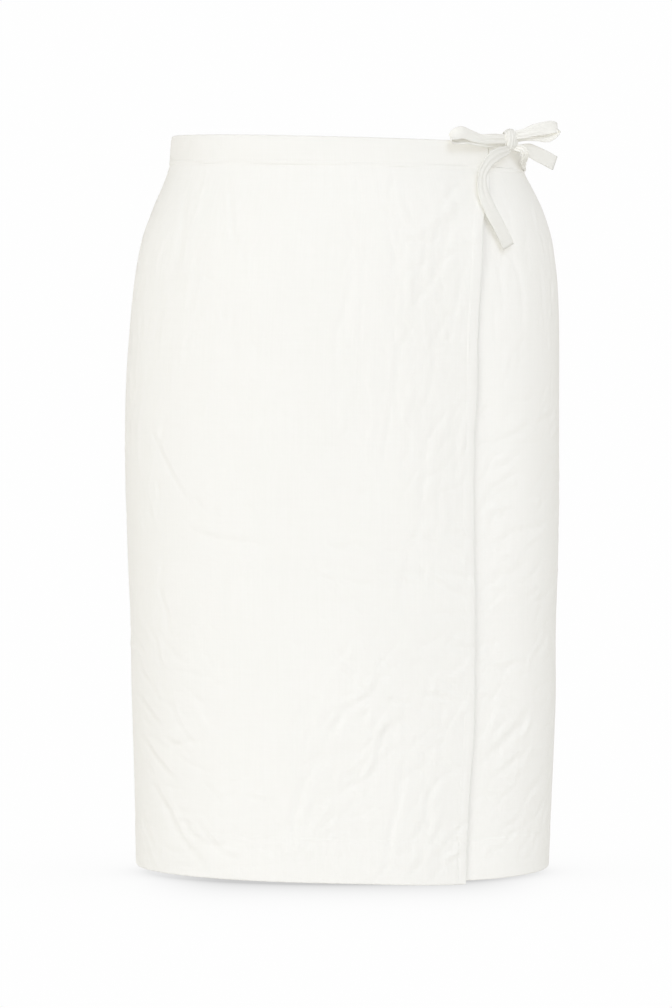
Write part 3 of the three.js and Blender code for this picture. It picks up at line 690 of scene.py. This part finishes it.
CLOTH_LOOK = cotton("skirt_cotton", (0.808, 0.795, 0.748))
BAND_LOOK = cotton("waistband_cotton", (0.806, 0.792, 0.744), crumple=0.0003)
TIE_LOOK = cotton("tie_cotton", (0.8, 0.785, 0.728), thread=0.0005, crumple=0.00025)
THREAD_LOOK = sewing_thread()


def past(value, line):
    """Nought before a turned edge's line and one past it."""
    return smoothstep(value, line - TURN_SOFT, line + TURN_SOFT)


def cloth_thickness(drop):
    return CLOTH + (HEM_CLOTH - CLOTH) * past(drop, HEM_LINE)


def groove(value, place, width, depth):
    return -depth * np.exp(-((value - place) / width) ** 2)


def pressed_lines(around, drop):
    """Grooves along the hem's stitches, the waist seam and the side seams."""
    lift = groove(drop, HEM_GROOVE_LINE, *HEM_GROOVE) + groove(drop, WAISTBAND, *WAIST_GROOVE)
    for seam in (-SIDE, SIDE, HIP_GIRTH - SIDE):
        lift += groove(around, seam, *SIDE_GROOVE)
    return lift


def hem_puckers(seed, around, drop, pitch=13.0, stray=4.0, half_width=3.0):
    """Short upright dents that a stitched hem has."""
    rng = np.random.default_rng(seed)
    lift = np.zeros_like(around)
    for centre in np.arange(around.min(), around.max(), pitch) + rng.uniform(-stray, stray):
        centre = centre + rng.uniform(-stray, stray)
        depth = rng.uniform(0.05, 0.3)
        low = rng.uniform(8, 26)
        dent = np.exp(-((around - centre) / half_width) ** 2)
        lift -= depth * dent * np.exp(-((drop - HEM_LINE - low / 2) / low) ** 2)
    return lift


def panel_places(start, end, bottom, step, close, marks=()):
    """Around and drop over a panel's grid, with extra columns close to its edges."""
    columns = np.union1d(grid_lines(start, end, step, marks), close)
    rows = grid_lines(WAISTBAND - BAND_COVER, bottom, step, [WAISTBAND, HEM_LINE])
    return np.meshgrid(columns, np.union1d(rows, bottom - np.array(HEM_LINES)))


def panel(cad_node, around, drop, out, kept):
    """A panel's closed cloth, which keeps a share of its thickness near its edges."""
    full = cloth_thickness(drop)
    thick = full * kept
    outer = cloth_point(around, drop, out - (full - thick) / 2)
    inner = cloth_point(around, drop, out - (full + thick) / 2)
    uv = np.stack([around, -drop], axis=-1)
    return dress(cad_node, shell(outer, inner, uv), CLOTH_LOOK)


def wrap_relief(around, drop):
    """Creases and waves of the wrap front."""
    lift = MAIN_SHARE * crease_lift(WRAP_CREASES, around, drop)
    small = FINE_SHARE * crease_lift(fine_creases(WRAP_ZONES, 11), around, drop)
    loose = still_edges(around, drop, -SIDE, edge_at(drop) + 14)
    return lift + loose * (small + SWELL * swell(5, around, drop))


def gape(inside, drop):
    """How far the wrap stands off beside its free edge."""
    return read(GAPE, "out", drop) * np.exp(-(inside / GAPE_REACH) ** 2)


def front_wrap():
    start = -SIDE - SEAM_OVERLAP / 2
    close = [*(start + np.array(SEAM_LINES)), BASE_EDGE - EDGE_LINE]
    base, drop = panel_places(start, BASE_EDGE, LENGTH, WRAP_STEP, close, [BASE_EDGE - EDGE_TURN])
    edge = edge_at(drop)
    around = base + smoothstep(base, FOLLOW_FROM, FOLLOW_TO) * (edge - BASE_EDGE)
    inside = edge - around
    turned = np.maximum(past(drop, HEM_LINE), 1 - past(inside, EDGE_TURN))
    light, heavy = EDGE_STITCH_DEPTHS
    press = light + heavy * smoothstep(drop, *PRESSED)
    out = wrap_relief(around, drop) + gape(inside, drop) + TURN_PROUD * turned
    out += groove(inside, EDGE_STITCH, EDGE_STITCH_WIDTH, press)
    out += pressed_lines(around, drop) + hem_puckers(61, around, drop)
    kept = np.minimum(rounded(BASE_EDGE - base, EDGE_ROUND), rounded(LENGTH - drop, EDGE_ROUND))
    return panel("front_wrap", around, drop, out, kept)


def edge_stitching():
    """The row of stitches along the wrap's turned free edge."""
    drop = np.linspace(WAISTBAND + 2, LENGTH - 3, 900)
    around = edge_at(drop) - EDGE_STITCH
    lift = wrap_relief(around, drop) + gape(EDGE_STITCH, drop)
    lift += TURN_PROUD - 0.12 - 0.3 * smoothstep(drop, *PRESSED)
    mesh = stitches(cloth_point(around, drop, lift), outward(around, drop))
    return link("free_edge_stitching", mesh, THREAD_LOOK)


def under_relief(around, drop):
    """Its own creases where it shows, and the wrap's deeper troughs where the wrap lies on it."""
    edge = edge_at(drop)
    covered = 1 - smoothstep(around, edge - 2, edge + 14)
    shown = smoothstep(around, edge - 8, edge + 3)
    small = FINE_SHARE * crease_lift(fine_creases(UNDER_ZONES, 23), around, drop)
    own = MAIN_SHARE * crease_lift(UNDER_CREASES, around, drop)
    own += small * still_edges(around, drop, 0, SIDE)
    own += SWELL * swell(9, around, drop) * still_edges(around, drop, 100, SIDE)
    beneath = np.minimum(wrap_relief(around, drop), 0) - 0.3
    return UNDER_SHARE * own * shown + covered * beneath


def tuck(around, drop, depth):
    """How a layer beneath the wrap rises to the form beyond the free edge."""
    beyond = around - edge_at(drop)
    return -depth * (1 - smoothstep(beyond, TUCK_FROM, TUCK_FADE))


def front_under():
    end = SIDE + SEAM_OVERLAP / 2
    bottom = LENGTH - UNDER_SHORT
    close = [UNDER_END + SEAM_LINES[0], *(end - np.array(SEAM_LINES))]
    around, drop = panel_places(UNDER_END, end, bottom, UNDER_STEP, close)
    edge = edge_at(drop)
    out = under_relief(around, drop) + tuck(around, drop, LAYER_DEPTH) + pressed_lines(around, drop)
    out += TURN_PROUD * past(drop, HEM_LINE) * smoothstep(around, edge, edge + 10)
    out += hem_puckers(67, around, drop) * smoothstep(around, 112, 124)
    kept = np.minimum(rounded(around - UNDER_END, EDGE_ROUND), rounded(bottom - drop, EDGE_ROUND))
    return panel("front_under", around, drop, out, kept)


def back_panel():
    start, end = SIDE - SEAM_OVERLAP / 2, HIP_GIRTH - SIDE + SEAM_OVERLAP / 2
    bottom = LENGTH - BACK_SHORT
    close = [*(start + np.array(SEAM_LINES)), *(end - np.array(SEAM_LINES))]
    around, drop = panel_places(start, end, bottom, BACK_STEP, close)
    small = FINE_SHARE * crease_lift(fine_creases(BACK_ZONES, 37), around, drop)
    out = MAIN_SHARE * crease_lift(BACK_CREASES, around, drop)
    out += still_edges(around, drop, start, end) * (small + SWELL * swell(13, around, drop))
    out += TURN_PROUD * past(drop, HEM_LINE) + pressed_lines(around, drop)
    out += hem_puckers(71, around, drop)
    return panel("back", around, drop, out, rounded(bottom - drop, EDGE_ROUND))


# The waistband's folded section as drop and out, from its lower edge up the outside and down inside.
Fold = namedtuple("Fold", "drop out")
BAND_STITCH = WAISTBAND - 3.4
BAND_SECTION = [Fold(*row) for row in (
    (24.9, -0.42), (24.5, -0.2), (23.6, 0.02), (22.6, 0.14), (22.1, 0.12), (BAND_STITCH, 0.05), (21.1, 0.15),
    (20.4, 0.24), (18.0, 0.34), (14.5, 0.42), (11.0, 0.44), (7.5, 0.4), (4.5, 0.32), (2.4, 0.2),
    (1.1, -0.05), (0.4, -0.4), (0.05, -0.9), (0.0, -1.3), (0.3, -1.7), (1.0, -1.95), (2.6, -2.1),
    (6.0, -2.2), (11.0, -2.25), (16.0, -2.2), (20.6, -2.1), (22.5, -2.05), (24.0, -1.9), (24.6, -1.7),
    (24.9, -1.3),
)]
BAND_RINGS = 170
BAND_ENDS = (0.0012, 0.003, 1 - 0.0012, 1 - 0.003)
BAND_SWELL = 0.22

# A waistband's ends, where the wrap's has the free edge, and how deep it lies beneath the wrap.
Band = namedtuple("Band", "node start end depth")
BANDS = [
    Band("waistband_front", -SIDE, None, 0),
    Band("waistband_under", UNDER_END, SIDE, BAND_LAYER_DEPTH),
    Band("waistband_back", SIDE, HIP_GIRTH - SIDE, 0),
]


def band_place(row, share, drop):
    """Around at a share of a waistband's length, and that length."""
    end = edge_at(drop) if row.end is None else row.end
    return row.start + (end - row.start) * share, np.max(end) - row.start


def band_waver(around, drop):
    return BAND_SWELL * swell(17, around, drop) + crease_lift(BAND_CREASES, around, drop)


def band(row):
    """A folded waistband, with flat ends."""
    shares = np.union1d(np.linspace(0, 1, BAND_RINGS), BAND_ENDS)
    share, drop = np.meshgrid(shares, [fold.drop for fold in BAND_SECTION], indexing="ij")
    outs = np.array([fold.out for fold in BAND_SECTION]) + 0 * drop
    around, length = band_place(row, share, drop)
    middle = BAND_CLOTH / 2 - 0.3
    out = (outs + middle) * rounded(np.minimum(share, 1 - share) * length, 0.8, 0.4) - middle
    face = smoothstep(outs, -1.2, 0) * smoothstep(drop, 0, 4)
    out += tuck(around, drop, row.depth) + band_waver(around, drop) * face
    numbers = np.arange(share.size).reshape(share.shape)
    beside = np.roll(numbers, -1, axis=1)
    walls = quads(numbers[:-1], numbers[1:], beside[1:], beside[:-1])
    near = np.arange(share.shape[1] // 2 - 1)
    far = share.shape[1] - 2 - near
    ends = [quads(ring[near], ring[near + 1], ring[far], ring[far + 1]) for ring in numbers[[0, -1]]]
    uv = np.stack([around, -drop], axis=-1).reshape(-1, 2)
    faces = np.concatenate([walls, ends[0], ends[1][:, ::-1]])
    mesh = cloth_point(around, drop, out).reshape(-1, 3), faces, uv
    return dress(row.node, mesh, BAND_LOOK)


def band_stitches(row):
    """The row of stitches along a waistband's lower edge."""
    share = np.linspace(0.004, 0.996, 400)
    drop = np.full_like(share, BAND_STITCH)
    around = band_place(row, share, drop)[0]
    lift = tuck(around, drop, row.depth) + band_waver(around, drop)
    return stitches(cloth_point(around, drop, lift), outward(around, drop))


# Each strip of the bow runs through its rows. lean turns its width from upright, at 0 degrees, to
# the direction of yaw, at 90. Yaw is +X at 0 degrees and towards the viewer at 90.
Free = namedtuple("Free", "x y z width lean yaw", defaults=(90,))
LOOP_LEFT = [
    Free(142.8, -56.6, -0.6, 8, 0), Free(131.2, -67.4, -0.8, 9.4, 6), Free(119.2, -78.4, -1.2, 9.2, 34),
    Free(109.6, -85.6, 1.5, TIE, 32), Free(102.2, -90.4, 3.8, TIE, 28), Free(95.6, -93.6, 1.6, TIE, 38),
    Free(92.4, -94, -1.2, TIE, 58), Free(97.2, -90.6, -3.3, TIE, 66), Free(107, -85.6, -3.4, TIE, 66),
    Free(118, -76.8, -3.9, 11, 56), Free(131, -63.4, -3.6, 8, 24), Free(142, -53.6, -1, 6.5, 0),
]
LOOP_RIGHT = [
    Free(144.6, -53.6, -1.6, 6, 6), Free(156, -46.8, 1.8, 7.2, 12), Free(167, -42.2, 3, 10, 22),
    Free(177.4, -37.8, 3.1, TIE, 26), Free(186.4, -34.8, 9.8, TIE, 44), Free(183.6, -37.6, 10.8, TIE, 34),
    Free(175.4, -42.2, 9.6, TIE, 18), Free(166.4, -46.4, 7.8, 10.8, 16), Free(156.6, -50.6, 4.6, 8.6, 14),
    Free(145, -54.8, 2.8, 6.5, 0),
]
TAIL_RIGHT = [
    Free(144.4, -53, -6.8, 4.5, 0), Free(152.4, -45.6, -8.2, 7, 0), Free(161, -40.6, -9.2, 11.4, 2),
    Free(171.4, -36, -13.8, TIE_OPEN, 4), Free(184.9, -29.6, -20.4, TIE_OPEN, 6),
]
TIE_SIDE = [
    Free(144, -54, -5.4, 5, 0, 0), Free(150, -52.6, -7.5, 5.8, 0, 0), Free(155, -50.8, -9, 6.8, -30, 0),
    Free(158, -47.6, -12.8, 7.6, -62, 0), Free(157, -42, -18, 7.8, -58, 0),
    Free(157.8, -31, -21.4, 8, -27, 0), Free(159.6, -16, -22, 9.4, -8, 0),
    Free(160, -3.4, -21, 11, 0, 0),
]

Lying = namedtuple("Lying", "around drop out width")
TAIL_LEFT = [
    Lying(184, 4.5, 7.2, 5), Lying(171, 7.4, 9.4, 8.4), Lying(157.5, 11, 9.4, 11),
    Lying(146.4, 18, 7.4, 10.6), Lying(137.4, 27.6, 6, 9.2), Lying(131.2, 39, 5.6, 10),
    Lying(130.6, 51.2, 6.2, 11.6), Lying(134.6, 64.3, 6.4, TIE), Lying(141.2, 78, 6, TIE),
    Lying(148.6, 93.8, 5.4, TIE),
]
TIE_FRONT = [
    Lying(155.9, 10.6, -0.9, 11), Lying(163.6, 11.2, 1.1, 8.6), Lying(170, 9.9, 3.2, 6.4),
    Lying(177, 7, 5.1, 5), Lying(184, 3.5, 6.7, 4),
]


def free_rows(rows):
    """Centres, directions across and widths of a strip that hangs free."""
    lean, yaw = np.radians([row.lean for row in rows]), np.radians([row.yaw for row in rows])
    across = np.stack([np.sin(lean) * np.cos(yaw), -np.sin(lean) * np.sin(yaw), -np.cos(lean)], axis=-1)
    return np.array([row[:3] for row in rows], float), across, np.array([row.width for row in rows])


def lying_rows(rows):
    """The same of a strip that lies along the skirt."""
    around, drop, out, width = (np.array(column, float) for column in zip(*rows))
    centre = cloth_point(around, drop, out)
    across = np.cross(outward(around, drop), np.gradient(centre, axis=0))
    return centre, unit(across), width


STRIP_STEPS = 7
STRIP_SIDES = np.linspace(-1, 1, 17)
PLEAT = 0.5
RIPPLE = 0.16
CUP = 0.25
TIE_SEAM = 0.74


def strip(rows, seed):
    """A tie's points, faces and UVs. Where it narrows, its width is gathered into small pleats."""
    centre, across, width = rows
    line = smooth_line(centre, STRIP_STEPS)
    share = np.linspace(0, len(centre) - 1, len(line))
    index = np.arange(len(centre))
    across = between(index, across, share)
    width = np.interp(share, index, width)[:, None]
    run = unit(np.gradient(line, axis=0))
    across = unit(across - run * np.sum(across * run, axis=1, keepdims=True))
    face = np.cross(run, across)
    gone = lengths_along(line)[:, None]
    side = STRIP_SIDES[None, :]
    gather = PLEAT * np.sqrt(np.clip(1 - (width / TIE) ** 2, 0, 1))
    phase = np.random.default_rng(seed).uniform(0, 2 * math.pi)
    fold = gather * np.cos(2.4 * math.pi * side + phase + 0.05 * gone)
    ripple = RIPPLE * np.sin(gone / 2.7 + phase) * side ** 2
    cup = CUP * (1 - side ** 2) * np.sin(gone / 9 + phase)
    lift = fold + ripple + cup
    seam = 1 - 0.18 * np.exp(-((np.abs(side) - TIE_SEAM) / 0.06) ** 2)
    ends = rounded(np.minimum(gone, gone[-1] - gone), 0.5, 0.4)
    thick = TIE_CLOTH * rounded(1 - np.abs(side), 0.12) * seam * ends
    spread = line[:, None] + across[:, None] * (side * width / 2)[..., None]
    outer = spread + face[:, None] * (lift + thick / 2)[..., None]
    inner = spread + face[:, None] * (lift - thick / 2)[..., None]
    uv = np.stack([gone + 0 * lift, side * TIE / 2 + 0 * lift], axis=-1)
    return shell(outer, inner, uv)


# The knot's centre and the way the ties run through it. Each of its turns is one closed ring.
KNOT_CENTRE = np.array([143.6, -54.7, -1.3])
KNOT_RUN = np.array([0.79, 0.61, 0.0])
KNOT_STEPS = 56
KNOT_PLEAT = 0.34
KNOT_DOME = 0.9
Turn = namedtuple("Turn", "high deep width tilt pleats phase shift")
KNOT_TURNS = [
    Turn(8.4, 4.4, 9.5, 1.2, 3, 0.4, 0),
    Turn(6.6, 3.4, 12.0, -2.2, 4, 1.9, 0.8),
    Turn(4.6, 2.4, 12.5, 0.6, 3, 3.0, 0),
]


def knot_turn(row):
    """A strip wound once round the knot, with its width gathered into pleats."""
    toward = np.array([KNOT_RUN[1], -KNOT_RUN[0], 0.0])
    upward = np.array([0, 0, 1.0])
    turns = np.linspace(0, 2 * math.pi, KNOT_STEPS, endpoint=False)
    turn, side = np.meshgrid(turns, STRIP_SIDES, indexing="ij")
    high, deep = np.sin(turn), np.cos(turn)
    fold = KNOT_PLEAT * np.cos(row.pleats * math.pi * side + row.phase + 0.6 * high)
    dome = KNOT_DOME * (1 - side ** 2)
    thick = KNOT_CLOTH * rounded(1 - np.abs(side), 0.2)
    reach = row.width / 2 * (1 - 0.22 * np.abs(high) ** 3)
    along = KNOT_CENTRE + (side * reach + row.tilt * high + row.shift)[..., None] * KNOT_RUN

    def surface(grow):
        up = (row.high + fold + dome + grow) * high
        out = (row.deep + fold + dome + grow) * deep
        return along + up[..., None] * upward + out[..., None] * toward

    verts = np.concatenate([surface(thick / 2).reshape(-1, 3), surface(-thick / 2).reshape(-1, 3)])
    numbers = np.arange(side.size).reshape(side.shape)
    onward = np.roll(numbers, -1, axis=0)
    wall = quads(numbers[:, :-1], numbers[:, 1:], onward[:, 1:], onward[:, :-1])
    rims = [
        quads(numbers[:, j], numbers[:, j] + side.size, onward[:, j] + side.size, onward[:, j])[:, ::order]
        for j, order in ((0, -1), (-1, 1))
    ]
    uv = np.stack([turn * row.high, side * TIE / 2], axis=-1).reshape(-1, 2)
    return verts, np.concatenate([wall, wall[:, ::-1] + side.size, *rims]), np.concatenate([uv, uv])


def bow():
    """The ties, loops, tails and knot, by the names of their solids."""
    meshes = {
        "tie_front": strip(lying_rows(TIE_FRONT), 1),
        "tie_side": strip(free_rows(TIE_SIDE), 2),
        "bow_loop_left": strip(free_rows(LOOP_LEFT), 3),
        "bow_loop_right": strip(free_rows(LOOP_RIGHT), 4),
        "bow_tail_left": strip(lying_rows(TAIL_LEFT), 5),
        "bow_tail_right": strip(free_rows(TAIL_RIGHT), 6),
        "bow_knot": joined([knot_turn(row) for row in KNOT_TURNS]),
    }
    return {name: dress(name, mesh, TIE_LOOK) for name, mesh in meshes.items()}


# The form of a record for a piece's cut as far as it shows, in metres, with the area of one that isn't
# oblong; this script lists no cuts.
Cut = namedtuple("Cut", "node flat area")


# The floor's level and the soft shadow painted into its glow, in metres: the oval that the painted shadow
# starts from, how fast it fades in shares of that oval, how far aside it weakens, and how dark it is, also
# right at the hem.
FLOOR_LEVEL = -0.6428
FLOOR_HALF = 14.0
BACKDROP = 0.993
PAINTED_SHADOW_REACH = (0.172, 0.096)
PAINTED_SHADOW_FADE = 0.48
PAINTED_SHADOW_SIDES = (0.09, 0.19)
PAINTED_SHADOW_DEPTH = 0.27
PAINTED_SIDE_SHADOW_SHARE = 0.1
PAINTED_CONTACT_FADE = 0.07
PAINTED_CONTACT_DEPTH = 0.13


def floor_look():
    """White paper that glows evenly, with the skirt's soft shadow painted into its glow, faint towards the
    sides.
    """
    material, tree = new_material("floor_paper_painted_shadow")
    tree.nodes.clear()
    place = node(tree, "TexCoord")
    apart = node(tree, "SeparateXYZ")
    tree.links.new(place.outputs["Object"], apart.inputs[0])
    squares = [
        maths(tree, "POWER", maths(tree, "ABSOLUTE", maths(tree, "DIVIDE", apart.outputs[k], reach)), 2)
        for k, reach in enumerate(PAINTED_SHADOW_REACH)
    ]
    away = maths(tree, "SUBTRACT", maths(tree, "SQRT", maths(tree, "ADD", *squares)), 1)
    away = maths(tree, "MAXIMUM", away, 0)
    wide, close = (
        maths(tree, "EXPONENT", maths(tree, "DIVIDE", away, -fade)) for fade in (PAINTED_SHADOW_FADE, PAINTED_CONTACT_FADE)
    )
    share = node(tree, "MapRange", interpolation_type="SMOOTHSTEP", **{
        "From Min": PAINTED_SHADOW_SIDES[0], "From Max": PAINTED_SHADOW_SIDES[1],
        "To Min": PAINTED_SHADOW_DEPTH, "To Max": PAINTED_SHADOW_DEPTH * PAINTED_SIDE_SHADOW_SHARE,
    })
    tree.links.new(maths(tree, "ABSOLUTE", apart.outputs[0]), share.inputs["Value"])
    # Painted shadow: the glow is made darker in an oval round the hem; no lamp casts it.
    light = maths(tree, "SUBTRACT", BACKDROP, maths(tree, "MULTIPLY", wide, share.outputs[0]))
    light = maths(tree, "SUBTRACT", light, maths(tree, "MULTIPLY", close, PAINTED_CONTACT_DEPTH))
    paper = node(tree, "Emission", Color=(1, 1, 1, 1))
    tree.links.new(light, paper.inputs["Strength"])
    result = node(tree, "OutputMaterial")
    tree.links.new(paper.outputs[0], result.inputs[0])
    return material


def floor():
    """A wide white floor just under the hem."""
    mesh = bpy.data.meshes.new("floor")
    corners = [(-1, -1), (1, -1), (1, 1), (-1, 1)]
    mesh.from_pydata([(x * FLOOR_HALF, y * FLOOR_HALF, FLOOR_LEVEL) for x, y in corners], [], [(0, 1, 2, 3)])
    mesh.materials.append(floor_look())
    ground = add("floor", mesh)
    ground.visible_diffuse = False


# The view, in metres: the eye, what it looks at, and the height of the view at the skirt.
EYE = (-0.006, -3.9, -0.159)
LOOK_AT = (-0.006, 0.0, -0.3184)
VIEW_DISTANCE = 3.9033
VIEW_HEIGHT = 0.88704
SENSOR = 36.0
FAR = 60.0


def camera():
    data = bpy.data.cameras.new("camera")
    data.sensor_width = SENSOR
    data.lens = VIEW_DISTANCE / VIEW_HEIGHT * SENSOR
    data.clip_end = FAR
    eye = add("camera", data)
    eye.location = EYE
    eye.rotation_euler = (Vector(LOOK_AT) - eye.location).to_track_quat("-Z", "Y").to_euler()
    bpy.context.scene.camera = eye


ROOM_STRENGTH = 0.574
ROOM_COLOUR = (1, 0.983, 0.932, 1)
KEY = (0.9, 1.0, 1.26)
FILL = (0.985, 1.002, 1.055)


def room():
    """Even light all round, and a brighter backdrop as the camera sees it."""
    world = bpy.data.worlds.new("studio")
    bpy.context.scene.world = world
    world.use_nodes = True
    tree = world.node_tree
    tree.nodes.clear()
    soft = node(tree, "Background", Strength=ROOM_STRENGTH, Color=ROOM_COLOUR)
    seen = node(tree, "Background", Strength=1.0, Color=(BACKDROP, BACKDROP, BACKDROP, 1))
    ray = node(tree, "LightPath")
    mixed = node(tree, "MixShader")
    for socket, value in zip(mixed.inputs, (ray.outputs["Is Camera Ray"], soft.outputs[0], seen.outputs[0])):
        tree.links.new(value, socket)
    result = node(tree, "OutputWorld")
    tree.links.new(mixed.outputs[0], result.inputs[0])


# A soft light comes from toward, is angle degrees across, shines on the pieces of lit and is shaded
# by those of shading alone.
Lamp = namedtuple("Lamp", "name toward colour energy angle lit shading")


def sun(lamp):
    data = bpy.data.lights.new(lamp.name, "SUN")
    data.energy = lamp.energy
    data.color = lamp.colour
    data.angle = math.radians(lamp.angle)
    light = add(lamp.name, data)
    light.rotation_euler = Vector(lamp.toward).to_track_quat("Z", "Y").to_euler()
    lit, shading = (bpy.data.collections.new(kind + lamp.name) for kind in ("lit_by_", "shading_"))
    for group, pieces in ((lit, lamp.lit), (shading, lamp.shading)):
        for piece in pieces:
            group.objects.link(piece)
    light.light_linking.receiver_collection = lit
    light.light_linking.blocker_collection = shading


def lights(panels, bands, threads, ties):
    wrap, under, back = panels
    band_front, band_under, band_back = bands
    dressed = [*panels, *bands, *threads, *ties.values()]
    clothing = [*panels, *bands]
    with_tail = [*clothing, ties["bow_tail_left"]]
    loops = [ties["bow_loop_left"], ties["bow_loop_right"]]
    side_tie = ties["tie_side"]
    lamps = [
        Lamp("key_light", (0.3, -0.78, 0.56), KEY, 0.5, 30, dressed, dressed),
        Lamp("right_fill", (0.6, -0.78, 0.06), FILL, 0.84, 60, dressed, clothing),
        Lamp("left_fill", (-1.0, -0.78, 0.04), FILL, 1.33, 60, dressed, clothing),
        Lamp("side_light", (0.95, 0.2, 0.2), FILL, 0.15, 60, dressed, clothing),
        Lamp("left_side_light", (-0.95, 0.2, 0.0), FILL, 0.3, 60, dressed, clothing),
        Lamp("wrap_light", (0.9, -0.45, 0.1), FILL, 0.17, 60, [wrap, band_front, side_tie], clothing),
        Lamp("under_light", (0.4, -0.9, 0.0), FILL, 0.31, 40, [under, band_under, side_tie], with_tail),
        Lamp("bow_light", (-0.3, -0.6, 0.6), FILL, 0.3, 60, loops, list(ties.values())),
        Lamp("back_light", (-0.3, 0.85, 0.45), FILL, 1.7, 45, [back, band_back], clothing),
    ]
    for lamp in lamps:
        sun(lamp)


scene = bpy.context.scene
scene.view_settings.view_transform = "Standard"
scene.view_settings.look = "None"

camera()
floor()
room()
panels = [front_wrap(), front_under(), back_panel()]
bands = [band(row) for row in BANDS]
band_mesh = joined([band_stitches(row) for row in BANDS])
threads = [link("waistband_stitching", band_mesh, THREAD_LOOK), edge_stitching()]
ties = bow()
lights(panels, bands, threads, ties)
